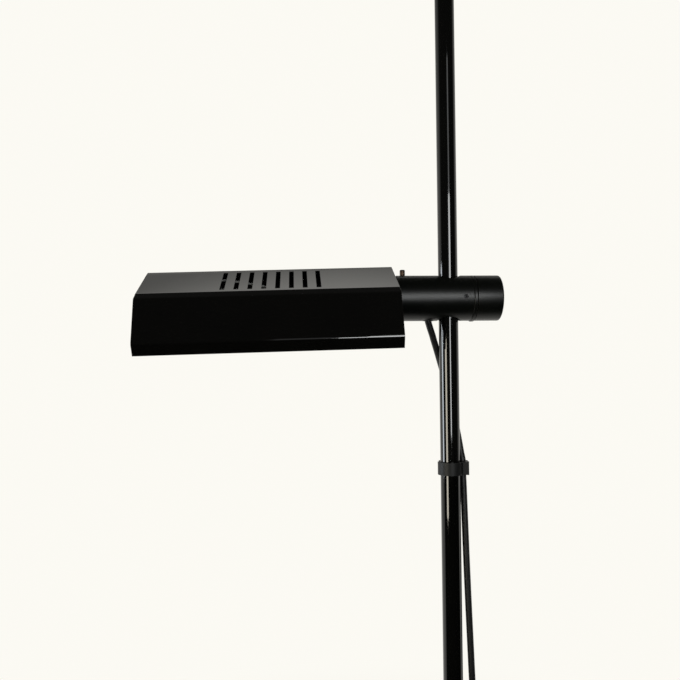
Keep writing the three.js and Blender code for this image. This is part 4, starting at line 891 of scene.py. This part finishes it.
plate_enamel = black_enamel("plate_enamel", 0.26, 0.14, 0.10)
plate_hole = rod(PLATE_HOLE, SHADE_NEAR - PLATE - 0.001, SHADE_NEAR + 0.001)
plate_near = carve(end_plate(SHADE_NEAR - PLATE, SHADE_NEAR), laid(plate_hole, ALONG_X))
plate_far = end_plate(SHADE_FAR, SHADE_FAR + PLATE)
for plate, end in ((plate_near, "near"), (plate_far, "far")):
    name, node = f"shade_plate_{end}", f"shade_end_{end}"
    piece(name, in_head(plate), plate_enamel, "head", "gloss_black", node, 0.0002)

# ------------------------------------------------------------------ arm fittings
# Inside the arm are a cross-bored aluminium block with two nylon bushes, a bearing ring for the
# spindle and one for the clamp screw, and the bar and screws that grip the flex.


def turned_brass():
    """Turned brass that has dulled a little to brown."""
    made = Finish("turned_brass")
    tarnish = made.cloud(0.004, 4)
    colour = made.tint(tarnish.between(0.35, 0.75), "c49a54", "8a6438")
    lay = made.relief(made.cloud(0.0003, 2), 0.000003)
    return made.pour(colour, 0.24 + 0.2 * tarnish, Metallic=1.0, Normal=lay)


def glazed_ceramic():
    """Off-white steatite: smooth, barely glossy, with a faint speckle."""
    made = Finish("glazed_ceramic")
    bisque = made.cloud(0.002, 4)
    colour = made.tint(0.35 * made.specks(0.0016, 0.12), "e9e4da", "b9ab94")
    return made.pour(colour, 0.34 + 0.2 * bisque, IOR=1.55, Normal=made.relief(bisque, 0.00001))


def finished(finish, *nodes):
    """Gives carried-over solids a finish."""
    for node in nodes:
        solid = bpy.data.objects[node]
        solid.data.materials.clear()
        solid.data.materials.append(finish)


# turned aluminium: bright, with a fine lathe grain and a dull oxide bloom
aluminium = grained("machined_aluminium", (0.008, 3), (0.0003, 2, (6.0, 1.0, 1.0)), "b4b6b8", "d2d3d4",
                    (0.24, 0.14, 0.06), 0.000004, Metallic=1.0)
# black nylon: waxy, slightly mottled
nylon = grained("black_nylon", (0.003, 3), None, "1b1b1c", "2a2a2b", (0.44, 0.12), 0.00001, IOR=1.53)
brass = turned_brass()
ceramic = glazed_ceramic()
finished(aluminium, "spindle_bearing", "clamp_block", "end_bearing")
finished(nylon, "bush_upper", "bush_lower", "cord_grip")
finished(steel, "clamp_screw", "grip_screw_front", "grip_screw_back", "pole_joiner", "base_bolt")
finished(brass, "clamp_shoe")
finished(ceramic, "terminal_block")
finished(rubber, "cord_grommet")

# ------------------------------------------------------------------ screws in the arm
# A small black hexagon-socket screw at the front holds the block in the arm, a little below the
# surface. On top stands the round bronzed head of the screw whose tip retains the spindle.


def bronzed_head(top):
    """Bronzed brass, warm brown, with painted shade that turns it nearly black on its rounded top."""
    made = Finish("bronzed_head")
    worn = made.cloud(0.0012, 3)
    height = made.node("SeparateXYZ", inputs={"Vector": made.spot()}, output="Z")
    # painted shade: the colour goes nearly black towards the rounded top
    dark = height.between(top - STUD_PAINTED_SHADE_END, top - STUD_PAINTED_SHADE_END / 2)
    colour = made.blend(dark, made.tint(worn, "33281f", "493a2e"), ink("15120f"))
    return made.pour(colour, 0.34 + 0.16 * worn, Metallic=0.85, Normal=made.relief(worn, 0.000008))


STUD_RADIUS = 0.00265
STUD_SHANK = 0.0016
STUD_ROUND = 0.0010
STUD_PAINTED_SHADE_END = 0.0019
STUD_SLOT = 0.0007
STUD_SLOT_DEPTH = 0.0008
GRUB_RADIUS = 0.002
GRUB_KEY = 0.0012
GRUB_DEPTH = 0.002

stud_low, stud_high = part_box("spindle_screw")
stud_seat = ARM_HEIGHT + ARM_RADIUS + SEAT_GAP
stud = turned([
    (0, stud_low.z), (STUD_SHANK, stud_low.z), (STUD_SHANK, stud_seat), (STUD_RADIUS, stud_seat),
    *round_rim(STUD_RADIUS, stud_high.z, STUD_ROUND), (0, stud_high.z),
], 64)
slot_cut = box(-0.004, 0.004, -STUD_SLOT / 2, STUD_SLOT / 2,
               stud_high.z - STUD_SLOT_DEPTH, stud_high.z + 0.001)
stud = moved(carve(stud, slot_cut), stud_x)
bronze = bronzed_head(stud_high.z)
piece("spindle_stud", stud, bronze, "arm", "brass", "spindle_screw", 0.00012, 2, 50)

grub_low, grub_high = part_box("block_screw")
key_cut = rod(GRUB_KEY, grub_low.y - 0.001, grub_low.y + GRUB_DEPTH, 6)
grub = carve(rod(GRUB_RADIUS, grub_low.y, grub_high.y, 48), key_cut)
grub = laid(grub, ALONG_Y, GRUB_X, 0, ARM_HEIGHT)
# chemically blackened steel with an oily sheen
oxide_black = grained("oxide_black", (0.0012, 3), None, "0f0f10", "1c1c1e", (0.36, 0.2), 0.000006,
                      Metallic=0.6)
piece("block_grub", grub, oxide_black, "arm", "steel", "block_screw", 0.00015, 2)

# ------------------------------------------------------------------ spindle
# The shade turns on a hollow steel spindle. A flange and a nut clamp its end plate, and a nylon
# washer rubs between the flange and the arm's bearing so that the shade stays where it is put.

SPINDLE_RADIUS = 0.0065
SPINDLE_BORE = 0.0035
FLANGE_RADIUS = 0.010
FLANGE_RIGHT = -0.00503
FLANGE_LEFT = -0.00663
SPINDLE_LEFT = -0.01493
SPINDLE_RIGHT = 0.006
GROOVE_RADIUS = 0.0051
GROOVE_HALF = 0.0023
RUB_LEFT = -0.00473
RUB_THICK = 0.0008
RUB_BORE = SPINDLE_RADIUS + SEAT_GAP
NUT_LEFT = -0.01373
NUT_RIGHT = -0.00873

spindle = turned([
    (SPINDLE_BORE, SPINDLE_LEFT), (SPINDLE_RADIUS, SPINDLE_LEFT), (SPINDLE_RADIUS, FLANGE_LEFT),
    (FLANGE_RADIUS, FLANGE_LEFT), (FLANGE_RADIUS, FLANGE_RIGHT), (SPINDLE_RADIUS, FLANGE_RIGHT),
    (SPINDLE_RADIUS, -GROOVE_HALF), (GROOVE_RADIUS, -GROOVE_HALF), (GROOVE_RADIUS, GROOVE_HALF),
    (SPINDLE_RADIUS, GROOVE_HALF), (SPINDLE_RADIUS, SPINDLE_RIGHT), (SPINDLE_BORE, SPINDLE_RIGHT),
], 80, closed=True)
spindle = in_head(laid(spindle, ALONG_X))
piece("hollow_spindle", spindle, steel, "head", "steel", "spindle", 0.00025, 2)

rub_washer = ring(RUB_BORE, FLANGE_RADIUS, RUB_LEFT, RUB_LEFT + RUB_THICK, 80)
rub_washer = in_head(laid(rub_washer, ALONG_X))
piece("rub_washer", rub_washer, nylon, "head", "nylon", "friction_washer", 0.00015, 2)

nut_bore = rod(RUB_BORE, NUT_LEFT - 0.001, NUT_RIGHT + 0.001)
nut = carve(rod(FLANGE_RADIUS, NUT_LEFT, NUT_RIGHT, 6), nut_bore)
piece("hex_nut", in_head(laid(nut, ALONG_X)), steel, "head", "steel", "spindle_nut", 0.0004)

# ------------------------------------------------------------------ reflector
# A folded sheet of hammered bright aluminium hangs under the vents and throws the light down. Its
# back is matt near-black: painted shade, for the dark inside the shade's top.


def hammered_aluminium():
    """Bright anodised aluminium with a small hammered pattern."""
    made = Finish("hammered_aluminium")
    grid = {"Vector": made.spot(), "Scale": 1 / 0.0045, "Smoothness": 0.6}
    dents = made.node("TexVoronoi", {"feature": "SMOOTH_F1"}, grid, output="Distance")
    bloom = made.cloud(0.02, 3)
    colour = made.tint(bloom, "d2d3d4", "e3e3e2")
    return made.pour(colour, 0.16 + 0.1 * bloom, Metallic=1.0, Normal=made.relief(dents, 0.0005))


def heat_black():
    """Painted shade on the reflector's back: matt near-black, a little dusty."""
    made = Finish("heat_black")
    dust = made.cloud(0.006, 4)
    colour = made.tint(dust.between(0.5, 0.9), "030303", "080808")
    return made.pour(colour, 0.6 + 0.2 * dust, IOR=1.45, Normal=made.relief(dust, 0.00002))


REFLECTOR_WALL = 0.0008
REFLECTOR_TOP = 0.0115
REFLECTOR_TOP_HALF = 0.034
REFLECTOR_HALF = 0.058
REFLECTOR_FOOT = -0.013
REFLECTOR_FAR = -0.24533
REFLECTOR_NEAR = -0.02343
REFLECTOR_FOLD = 0.002
STEM_HOLE = 0.0033
HOLDER_MIDDLE = 0.0641

section = [(-REFLECTOR_HALF, REFLECTOR_FOOT), (-REFLECTOR_TOP_HALF, REFLECTOR_TOP),
           (REFLECTOR_TOP_HALF, REFLECTOR_TOP), (REFLECTOR_HALF, REFLECTOR_FOOT)]
reflector = sheet(folds(section, [REFLECTOR_FOLD] * 2, 6), [REFLECTOR_FAR, REFLECTOR_NEAR])
stem_holes = []
for side in (-1, 1):
    hole = rod(STEM_HOLE, REFLECTOR_TOP - 0.003, REFLECTOR_TOP + 0.001, 32)
    stem_holes.append(moved(hole, middle + side * HOLDER_MIDDLE))
reflector = carve(thicken(reflector, REFLECTOR_WALL), *stem_holes)
reflector.normal_update()
# the faces turned up towards the vents get the painted shade
for face in reflector.faces:
    face.material_index = 1 if face.normal.z > 0.3 else 0
reflector = piece("reflector_sheet", in_head(reflector), hammered_aluminium(), "head", "aluminium",
                  "reflector", 0.00012, 2, 60)
reflector.data.materials.append(heat_black())

# ------------------------------------------------------------------ lamp and holders
# A 118 mm double-ended halogen lamp sits between two ceramic holders. Each hangs from the shade's
# top on a bent steel bracket. The far holder's brass contact is sprung.


def quartz_glass():
    """Clear fused quartz with faint drawing lines."""
    made = Finish("quartz_glass")
    lines = made.cloud(0.0012, 2, (0.1, 1.0, 1.0))
    streaks = made.relief(lines, 0.00001)
    roughness = 0.02 + 0.03 * lines
    return made.pour(ink("f4f8f8"), roughness, IOR=1.46, Transmission_Weight=1.0, Normal=streaks)


def tungsten():
    """Drawn tungsten wire, grey and dull."""
    made = Finish("tungsten")
    wire = made.cloud(0.0005, 2)
    return made.pour(made.tint(wire, "6e6e70", "8c8c8c"), 0.4 + 0.1 * wire, Metallic=1.0)


LAMP_HALF = 0.0588
LAMP_RADIUS = 0.005
LAMP_GLASS = 0.0008
LAMP_HEIGHT = -0.001
PINCH_RADIUS = 0.0026
PINCH_LENGTH = 0.006
CAP_RADIUS = 0.0038
CAP_LENGTH = 0.009
FILAMENT_RADIUS = 0.0009
FILAMENT_WIRE = 0.00016
FILAMENT_TURNS = 60
FILAMENT_HALF = 0.036
HOLDER_LENGTH = 0.016
HOLDER_HALF = 0.0085
HOLDER_FOOT = -0.0095
HOLDER_TOP = 0.0104
HOLDER_FACE = HOLDER_MIDDLE - HOLDER_LENGTH / 2
RECESS = 0.003
STEM_RADIUS = 0.003
STEM_LENGTH = 0.006
CONTACT_BORE = 0.0025

glass_half = LAMP_HALF - CAP_LENGTH - SEAT_GAP
shoulder = glass_half - PINCH_LENGTH


def mirrored_line(half):
    """A turned outline from one half of it."""
    return [(r, -x) for r, x in half] + [(r, x) for r, x in reversed(half)]


def mirrored(made, way):
    """A piece turned into its mirror image, with its faces still outwards."""
    bmesh.ops.scale(made, vec=way, verts=made.verts)
    bmesh.ops.reverse_faces(made, faces=made.faces)
    return made


def at_end(made, side=1, z=0.0):
    """Puts a piece at the middle of the shade, mirrored for the far end."""
    if side < 0:
        mirrored(made, (-1, 1, 1))
    return in_head(moved(made, middle, 0, z))


bulb_line = mirrored_line([
    (0, glass_half), (PINCH_RADIUS, glass_half), (PINCH_RADIUS, shoulder + 0.003),
    (PINCH_RADIUS * 1.15, shoulder + 0.0021), (LAMP_RADIUS * 0.80, shoulder + 0.0012),
    (LAMP_RADIUS * 0.94, shoulder + 0.0002), (LAMP_RADIUS, shoulder - 0.0012),
])
bore = LAMP_RADIUS - LAMP_GLASS
bore_end = shoulder - 0.001
bore_line = mirrored_line([(0, bore_end), (bore - 0.001, bore_end - 0.0008), (bore, bore_end - 0.003)])
bulb = at_end(laid(carve(turned(bulb_line, 64), turned(bore_line, 64)), ALONG_X), z=LAMP_HEIGHT)
piece("lamp_bulb", bulb, quartz_glass(), "head", "quartz", "lamp_tube", 0, outward=False)

coil_points = []
for i in range(FILAMENT_TURNS * 8 + 1):
    angle = i * math.pi / 4
    along = -FILAMENT_HALF + 2 * FILAMENT_HALF * i / (FILAMENT_TURNS * 8)
    y, z = FILAMENT_RADIUS * math.cos(angle), FILAMENT_RADIUS * math.sin(angle)
    coil_points.append(TO_HEAD @ Vector((middle + along, y, z + LAMP_HEIGHT)))
filament = smooth_line("lamp_filament", coil_points, FILAMENT_WIRE, 1, 1)
dress(filament, tungsten(), "head", "steel")

for side, name in ((1, "near"), (-1, "far")):
    cap = turned([
        (0, LAMP_HALF - CAP_LENGTH), (CAP_RADIUS, LAMP_HALF - CAP_LENGTH),
        (CAP_RADIUS, LAMP_HALF - 0.001), (CAP_RADIUS * 0.5, LAMP_HALF), (0, LAMP_HALF),
    ], 48)
    cap = at_end(laid(cap, ALONG_X), side, LAMP_HEIGHT)
    piece(f"lamp_end_{name}", cap, ceramic, "head", "ceramic", f"lamp_cap_{name}")
    block = box(-HOLDER_LENGTH / 2, HOLDER_LENGTH / 2, -HOLDER_HALF, HOLDER_HALF, HOLDER_FOOT, HOLDER_TOP)
    stem = rod(STEM_RADIUS, HOLDER_TOP - 0.001, HOLDER_TOP + STEM_LENGTH, 40)
    recess = rod(CAP_RADIUS + SEAT_GAP, HOLDER_FACE - 0.001, HOLDER_FACE + RECESS, 48)
    contact_bore = rod(CONTACT_BORE, HOLDER_FACE, HOLDER_FACE + HOLDER_LENGTH - 0.001, 32)
    holder = carve(moved(block, HOLDER_MIDDLE), moved(stem, HOLDER_MIDDLE), how="UNION")
    holder = carve(holder, *[laid(cut, ALONG_X, z=LAMP_HEIGHT) for cut in (recess, contact_bore)])
    holder = at_end(holder, side)
    piece(f"ceramic_holder_{name}", holder, ceramic, "head", "ceramic", f"lamp_holder_{name}", 0.0005)
finished(steel, "holder_bracket_near", "holder_bracket_far")
finished(brass, "lamp_contact_near", "lamp_contact_far")

# ------------------------------------------------------------------ safety glass
# A plate of 3 mm toughened glass closes the shade and keeps hot splinters in. It is ground round
# its edge and lies loose on two aluminium angle rails.


def toughened_glass():
    """Clear glass with the faint green of its iron, and a little dust on it."""
    made = Finish("toughened_glass")
    roughness = 0.02 + 0.05 * made.cloud(0.004, 5).between(0.5, 0.8)
    wave = made.relief(made.cloud(0.05, 1), 0.00001)
    return made.pour(ink("e6f2ee"), roughness, IOR=1.5, Transmission_Weight=1.0, Normal=wave)


GLASS_FAR = -0.26003
GLASS_NEAR = -0.00873
GLASS_HALF = 0.06634
GLASS_LOW = -0.0182
GLASS_TOP = -0.0152
RAIL_BACK = 0.06764
RAIL_FOOT = 0.006
RAIL_WALL = 0.0008
RAIL_HEIGHT = 0.0065
RAIL_LOW = -0.0193

plate = in_head(box(GLASS_FAR, GLASS_NEAR, -GLASS_HALF, GLASS_HALF, GLASS_LOW, GLASS_TOP))
piece("glass_plate", plate, toughened_glass(), "head", "clear_glass", "safety_glass", 0.0006)
toe = RAIL_BACK - RAIL_FOOT
for side, name in ((-1, "front"), (1, "back")):
    line = [Vector((-RAIL_BACK, RAIL_LOW + RAIL_HEIGHT)), Vector((-RAIL_BACK, RAIL_LOW)),
            Vector((-toe, RAIL_LOW))]
    rail = sheet(line, [GLASS_FAR, GLASS_NEAR])
    bmesh.ops.recalc_face_normals(rail, faces=rail.faces)
    bmesh.ops.solidify(rail, geom=rail.faces[:], thickness=RAIL_WALL)
    low_y, low_z = (min(v.co[axis] for v in rail.verts) for axis in (1, 2))
    moved(rail, 0, -RAIL_BACK - low_y, RAIL_LOW - low_z)
    if side > 0:
        mirrored(rail, (1, -1, 1))
    rail = in_head(rail)
    piece(f"rail_{name}", rail, aluminium, "head", "aluminium", f"glass_rail_{name}", 0.00015, 2)

# ------------------------------------------------------------------ lead
# A heat-proof silicone lead comes out of the hollow spindle, crosses on top of the reflector right
# under the vents, and goes round the far bracket to its back.


LEAD_RADIUS = 0.00115

# grey silicone sleeving, matt, with a braid showing through
silicone = grained("grey_silicone", (0.02, 3), (0.0005, 2), "6e6f6d", "5c5d5a", (0.5, 0, 0.2), 0.00003,
                   IOR=1.42)
lead_route = millimetres([
    (-2.93, 0, -1.8), (-15.93, 0, -1.8), (-18.93, -1, 1.5), (-19.93, -4.5, 8), (-24.43, -10, 14),
    (-40.93, -17.5, 13.2), (-82.38, -20, 13.2), (-102.38, -17.5, 13.2), (-126.38, -8, 14.4),
    (-141.68, 2.7, 16.2), (-155.18, 9.8, 16.6), (-169.38, 16.8, 16.6), (-183.88, 23.5, 16.2),
    (-196.38, 26.5, 15.4), (-208.38, 24.5, 14.8), (-214.88, 17.5, 14.6), (-212.38, 10, 14.6),
    (-204.78, 8, 14.6),
])
lead = smooth_line("silicone_lead", [TO_HEAD @ p for p in lead_route], LEAD_RADIUS)
dress(lead, silicone, "head", "silicone", "head_lead")

# ------------------------------------------------------------------ foot switch
# The in-line switch lies on the floor: a rubber tray, a moulded cover with a tapered, ribbed
# strain relief at each end, and a big round button on a spring.

SWITCH_HALF = (0.042, 0.022)
SWITCH_CORNER = 0.012
SWITCH_WALL = 0.002
SWITCH_EASE = 0.0030
TRAY_TOP = 0.003
COVER_FOOT = 0.0033
COVER_TOP = 0.024
NOZZLE_HEIGHT = 0.010
NOZZLE_ROOT = 0.0066
NOZZLE_TIP = 0.0044
NOZZLE_RIBS = 6
BUTTON_HOLE = 0.0123
BUTTON_RADIUS = 0.012
BUTTON_ROUND = 0.0018
BUTTON_FLANGE = 0.014
BUTTON_FLANGE_TOP = 0.0217
BUTTON_GROOVES = (0.0088, 0.0062, 0.0036)
GROOVE_WIDTH = 0.0012
GROOVE_DEPTH = 0.0005
GROOVE_SIDE = 0.0003


def eased(made, corners, width, steps, kind="EDGES"):
    """Rounds edges, or the corners of a flat outline, in the mesh itself."""
    bmesh.ops.bevel(made, geom=corners, offset=width, offset_type="OFFSET", affect=kind,
                    segments=steps, profile=0.5, material=-1)
    return made


def card(half_x, half_y, corner, steps):
    """A flat oblong with round corners."""
    made = bmesh.new()
    bmesh.ops.create_grid(made, x_segments=1, y_segments=1, size=1.0)
    bmesh.ops.scale(made, vec=(half_x, half_y, 1), verts=made.verts)
    return eased(made, made.verts[:], corner, steps, "VERTICES")


def slab(half_x, half_y, corner, low, high, rounding=0.0):
    """A block with round corners in plan, and a rounded top edge if asked."""
    top = high - low
    made = raised(card(half_x, half_y, corner, 10), (0, 0, top))
    if rounding:
        rim = [e for e in made.edges if all(abs(v.co.z - top) < 1e-7 for v in e.verts)]
        eased(made, rim, rounding, 5)
    return moved(made, 0, 0, low)


def ribbed_cone(root, tip, length, ribs, sunk=0.0005, inside=0.002, collar=0.0015):
    """A tapered strain relief along Z with ring grooves, from its root at 0."""
    outline = [(0, -inside), (root, -inside), (root, collar)]
    for k in range(ribs):
        start = collar + (length - 2 * collar) * (k + 0.25) / ribs
        end = collar + (length - 2 * collar) * (k + 0.62) / ribs
        groove = ((start, 0), (start + GROOVE_SIDE, sunk), (end - GROOVE_SIDE, sunk), (end, 0))
        outline += [(root + (tip - root) * at / length - deep, at) for at, deep in groove]
    return turned(outline + [(tip, length), (0, length)], 48)


tray = moved(slab(*SWITCH_HALF, SWITCH_CORNER, 0.0, TRAY_TOP), *SWITCH_CENTRE)
piece("switch_foot_tray", tray, rubber, "stand", "rubber", "switch_tray", 0.0005, 2)

cover = slab(*SWITCH_HALF, SWITCH_CORNER, COVER_FOOT, COVER_TOP, SWITCH_EASE)
inside = slab(*[half - SWITCH_WALL for half in (*SWITCH_HALF, SWITCH_CORNER)],
              COVER_FOOT - 0.001, COVER_TOP - SWITCH_WALL, SWITCH_EASE - 0.001)
for side in (1, -1):
    nozzle = ribbed_cone(NOZZLE_ROOT, NOZZLE_TIP, NOZZLE_END - SWITCH_HALF[0] + 0.0005, NOZZLE_RIBS)
    turn = Matrix.Rotation(side * math.pi / 2, 4, "Y")
    cover = carve(cover, laid(nozzle, turn, side * SWITCH_HALF[0], 0, NOZZLE_HEIGHT), how="UNION")
cover = moved(carve(cover, inside, rod(BUTTON_HOLE, 0.015, 0.030)), *SWITCH_CENTRE)
piece("switch_shell", cover, black_mould, "stand", "black_plastic", "switch_cover", 0.0003, 2)

button_low, button_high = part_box("switch_button")
button_top = button_high.z
button_line = [
    (0, button_low.z), (BUTTON_FLANGE, button_low.z), (BUTTON_FLANGE, BUTTON_FLANGE_TOP),
    (BUTTON_RADIUS, BUTTON_FLANGE_TOP), *round_rim(BUTTON_RADIUS, button_top, BUTTON_ROUND),
]
for outer in BUTTON_GROOVES:
    inner = outer - GROOVE_WIDTH
    button_line += [
        (outer, button_top), (outer - GROOVE_SIDE, button_top - GROOVE_DEPTH),
        (inner + GROOVE_SIDE, button_top - GROOVE_DEPTH), (inner, button_top),
    ]
button = moved(turned(button_line + [(0, button_top)]), *SWITCH_CENTRE)
piece("switch_push", button, black_mould, "button", "black_plastic", "switch_button", 0.00015, 2)

SPRING_RADIUS = 0.006
SPRING_WIRE = 0.0007
SPRING_TURNS = 4
SPRING_STEPS = 16

spring_low, spring_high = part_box("switch_spring")
spring_height = spring_high.z - spring_low.z
spring_line = []
for i in range(SPRING_TURNS * SPRING_STEPS + 1):
    angle = 2 * math.pi * i / SPRING_STEPS
    share = i / (SPRING_TURNS * SPRING_STEPS)
    height = spring_low.z + SPRING_WIRE + share * (spring_height - 2 * SPRING_WIRE)
    around = Vector((SPRING_RADIUS * math.cos(angle), SPRING_RADIUS * math.sin(angle), height))
    spring_line.append(SWITCH_CENTRE + around)
spring = as_mesh(smooth_line("switch_return_spring", spring_line, SPRING_WIRE, 2, 3))
dress(spring, steel, "stand", "steel", "switch_spring")
push_travel = joint("switch_button")["range_m"][1]
1 - push_travel / spring_height
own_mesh(spring)

# ------------------------------------------------------------------ tie and plug
# A soft strap holds the coil together. The flex ends in a flat moulded two-pin plug with a ribbed
# strain relief, and pins that are sleeved over half their length.

TIE_HALF = 0.003
TIE_THICK = 0.0008
TIE_CORNER = 0.003
PLUG_HALF_WIDTH = 0.0175
PLUG_HALF_HEIGHT = 0.0068
PLUG_LENGTH = 0.034
PLUG_TAPER = 0.009
PLUG_EASE = 0.0022
PLUG_RELIEF = 0.020
PLUG_RELIEF_ROOT = 0.0058
PLUG_RELIEF_TIP = 0.0040
PIN_RADIUS = 0.002
PIN_TIP = 0.0011
PIN_WAIST = 0.0018
PIN_SLEEVE = 0.010

tie_low, tie_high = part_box("coil_tie")
tie_middle = (tie_low + tie_high) / 2
tie_half = (tie_high - tie_low) / 2
strap = card(tie_half.z, tie_half.y, TIE_CORNER, 8)
outline = strap.edges[:]
bmesh.ops.delete(strap, geom=strap.faces[:], context="FACES_ONLY")
drawn_out(strap, bmesh.ops.extrude_edge_only(strap, edges=outline), (0, 0, 2 * TIE_HALF))
bmesh.ops.recalc_face_normals(strap, faces=strap.faces)
side_face = strap.faces[:][0]
if side_face.normal.dot(side_face.calc_center_median() * Vector((1, 1, 0))) < 0:
    bmesh.ops.reverse_faces(strap, faces=strap.faces)
bmesh.ops.solidify(strap, geom=strap.faces[:], thickness=TIE_THICK)
strap = laid(strap, ALONG_X, tie_middle.x - TIE_HALF, tie_middle.y, tie_middle.z)
piece("coil_strap", strap, rubber, "stand", "rubber", "coil_tie", 0.00015, 2)

plug_line = []
for k in range(9):
    t = k / 8
    root, bulge = (1 - t) ** 2, 2 * t * (1 - t) + t * t
    plug_line.append((root * (PLUG_RELIEF_ROOT + 0.001) + bulge * PLUG_HALF_WIDTH, -t * t * PLUG_TAPER))
plug_line.append((PLUG_HALF_WIDTH - 0.002, -PLUG_LENGTH))
plug_line += [(-x, y) for x, y in reversed(plug_line)]
housing = bmesh.new()
housing.faces.new([housing.verts.new((x, y, -PLUG_HALF_HEIGHT)) for x, y in plug_line])
raised(housing, (0, 0, 2 * PLUG_HALF_HEIGHT))
rims = [e for e in housing.edges if abs(e.verts[0].co.z - e.verts[1].co.z) < 1e-7]
eased(housing, rims, PLUG_EASE, 5)
relief_cone = laid(ribbed_cone(PLUG_RELIEF_ROOT, PLUG_RELIEF_TIP, PLUG_RELIEF, 5), ALONG_Y)
plug = carve(housing, relief_cone, how="UNION")
plug = moved(plug, plug_x, plug_high.y - PLUG_RELIEF, plug_z)
piece("plug_moulding", plug, black_mould, "stand", "black_plastic", "plug_body", 0.0003, 2)

plug_face = plug_low.y
for node in ("plug_pin_left", "plug_pin_right"):
    low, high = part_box(node)
    place = ((low.x + high.x) / 2, 0, (low.z + high.z) / 2)
    pin = turned([
        (0, low.y), (PIN_TIP, low.y), (PIN_WAIST, low.y + 0.0010), (PIN_WAIST, plug_face - PIN_SLEEVE),
        (PIN_WAIST, plug_face + 0.001), (0, plug_face + 0.001),
    ], 40)
    laid(spun(pin, math.pi), ALONG_Y, *place)
    piece(node + "_metal", pin, brass, "stand", "brass", node, 0.0003, 2)
    sleeve = ring(PIN_WAIST, PIN_RADIUS, plug_face - PIN_SLEEVE, plug_face + 0.0005, 40)
    laid(sleeve, ALONG_Y, *place)
    piece(node + "_sleeve", sleeve, black_mould, "stand", "black_plastic", None, 0)

run_length(centreline(coil))

# ------------------------------------------------------------------ room
# The lamp stands on a plain pale floor in a plain warm-white room. Six soft panels stand behind
# the viewer and to the left, one hangs over the lamp, and the wall behind the lamp is lit.

FLOOR_HALF = 6.0
FLOOR_SHINE = 0.62
FLOOR_DROP = 0.0002
PANEL_AWAY = 2.5
BACKDROP = (0.97, 0.955, 0.9, 1)
BLACK = (0, 0, 0, 1)


def plain_floor():
    """Pale matt floor. It looks darker in the lamp's gloss in front, where the room is unlit."""
    made = Finish("plain_floor")
    made.pour(ink("ebe9e4"), 0.9, IOR=1.3)
    straight = made.node("LightPath", output="Is Camera Ray")
    glossy = made.node("LightPath", output="Is Glossy Ray")
    through = made.node("LightPath", output="Is Transmission Ray")
    lit = made.node("SeparateXYZ", inputs={"Vector": made.spot()}, output="Y").between(-0.15, 0.35)
    away = made.node("VectorMath", {"operation": "LENGTH"}, {0: made.spot()}, output="Value")
    shine = FLOOR_SHINE + (1 - FLOOR_SHINE) * away.between(1.0, 2.0)
    matt = Level(made, made.shader.outputs[0])
    lift = made.node("Emission", inputs={"Color": BACKDROP, "Strength": 1.0})
    unlit = made.node("Emission", inputs={"Color": BLACK, "Strength": 0.0})
    pale = made.node("MixShader", inputs={0: shine, 1: matt, 2: lift})
    shown = made.node("MixShader", inputs={0: glossy * (1 - lit), 1: pale, 2: unlit})
    plain = made.node("MixShader", inputs={0: straight + glossy + through, 1: matt, 2: shown})
    made.plug(made.tree.nodes["Material Output"].inputs["Surface"], plain)
    return made.material


floor_face = bmesh.new()
bmesh.ops.create_grid(floor_face, x_segments=1, y_segments=1, size=FLOOR_HALF)
floor = placed("room_floor", settle(moved(floor_face, 0, 0, -FLOOR_DROP), outward=False))
floor.data.materials.append(plain_floor())


def soft_light(name, shape, size, energy, place):
    """A soft panel of light that the camera doesn't see."""
    lamp = bpy.data.lights.new(name, "AREA")
    lamp.shape = shape
    lamp.size = size
    lamp.energy = energy
    hung = placed(name, lamp)
    hung.location = place
    hung.visible_camera = False
    return hung


def panel(name, bearing, width, low, high, colour, shine):
    """An upright soft panel of a given brightness behind the viewer, facing the pole. The bearing
    of its middle runs from straight behind the viewer towards the viewer's right, in degrees."""
    size, size_y = 2 * PANEL_AWAY * math.tan(math.radians(width) / 2), high - low
    angle = math.radians(bearing)
    place = (PANEL_AWAY * math.sin(angle), -PANEL_AWAY * math.cos(angle), (low + high) / 2)
    hung = soft_light(name, "RECTANGLE", size, shine * math.pi * size * size_y, place)
    hung.data.size_y = size_y
    hung.data.color = colour
    hung.rotation_euler = (math.pi / 2, 0, angle)


panel("panel_left", -94, 17, 0.64, 1.62, (0.86, 0.93, 1.0), 13)
panel("panel_middle", -48, 19, 0.44, 1.27, (1.0, 0.93, 0.78), 13)
panel("panel_right_high", 12.5, 18, 1.38, 1.95, (0.98, 1.0, 0.99), 13)
panel("panel_right_low", 5.5, 10, 0.82, 1.38, (0.98, 1.0, 1.0), 15)
panel("panel_right_glow", -3, 7, 0.82, 1.95, (0.98, 1.0, 1.0), 0.5)
panel("panel_right_top", 12.5, 14, 1.95, 2.60, (0.98, 1.0, 1.0), 2.0)
soft_light("panel_above", "SQUARE", 1.5, 45.0, (0.0, 0.25, 3.9)).visible_glossy = False


def room_glow(sky):
    """Seen directly, the room is one pale tone. In the lamp's gloss the wall behind is lit, with a
    paler band high up under a dark ceiling, and the rest is nearly dark."""
    ahead, up = (
        sky.node("SeparateXYZ", inputs={0: sky.node("TexCoord", output="Generated")}, output=axis)
        for axis in "YZ"
    )
    lower_wall = 0.9 - 0.52 * up.between(0.15, 0.60)
    high_wall = 0.9 * up.between(0.685, 0.740)
    wall = ahead.between(-0.15, 0.3) * (lower_wall + high_wall) * (1 - up.between(0.760, 0.790))
    straight = sky.node("LightPath", output="Is Camera Ray")
    seen = straight.math("MAXIMUM", straight, sky.node("LightPath", output="Is Transmission Ray"))
    return seen + (1 - seen) * (0.035 + wall)


room = bpy.data.worlds.new("room")
room.use_nodes = True
bpy.context.scene.world = room
room.node_tree.nodes.clear()
sky = Nodes(room.node_tree)
glow = sky.node("Background", inputs={"Color": BACKDROP, "Strength": room_glow(sky)})
sky.node("OutputWorld", inputs={"Surface": glow})

bpy.context.scene.view_settings.view_transform = "Standard"
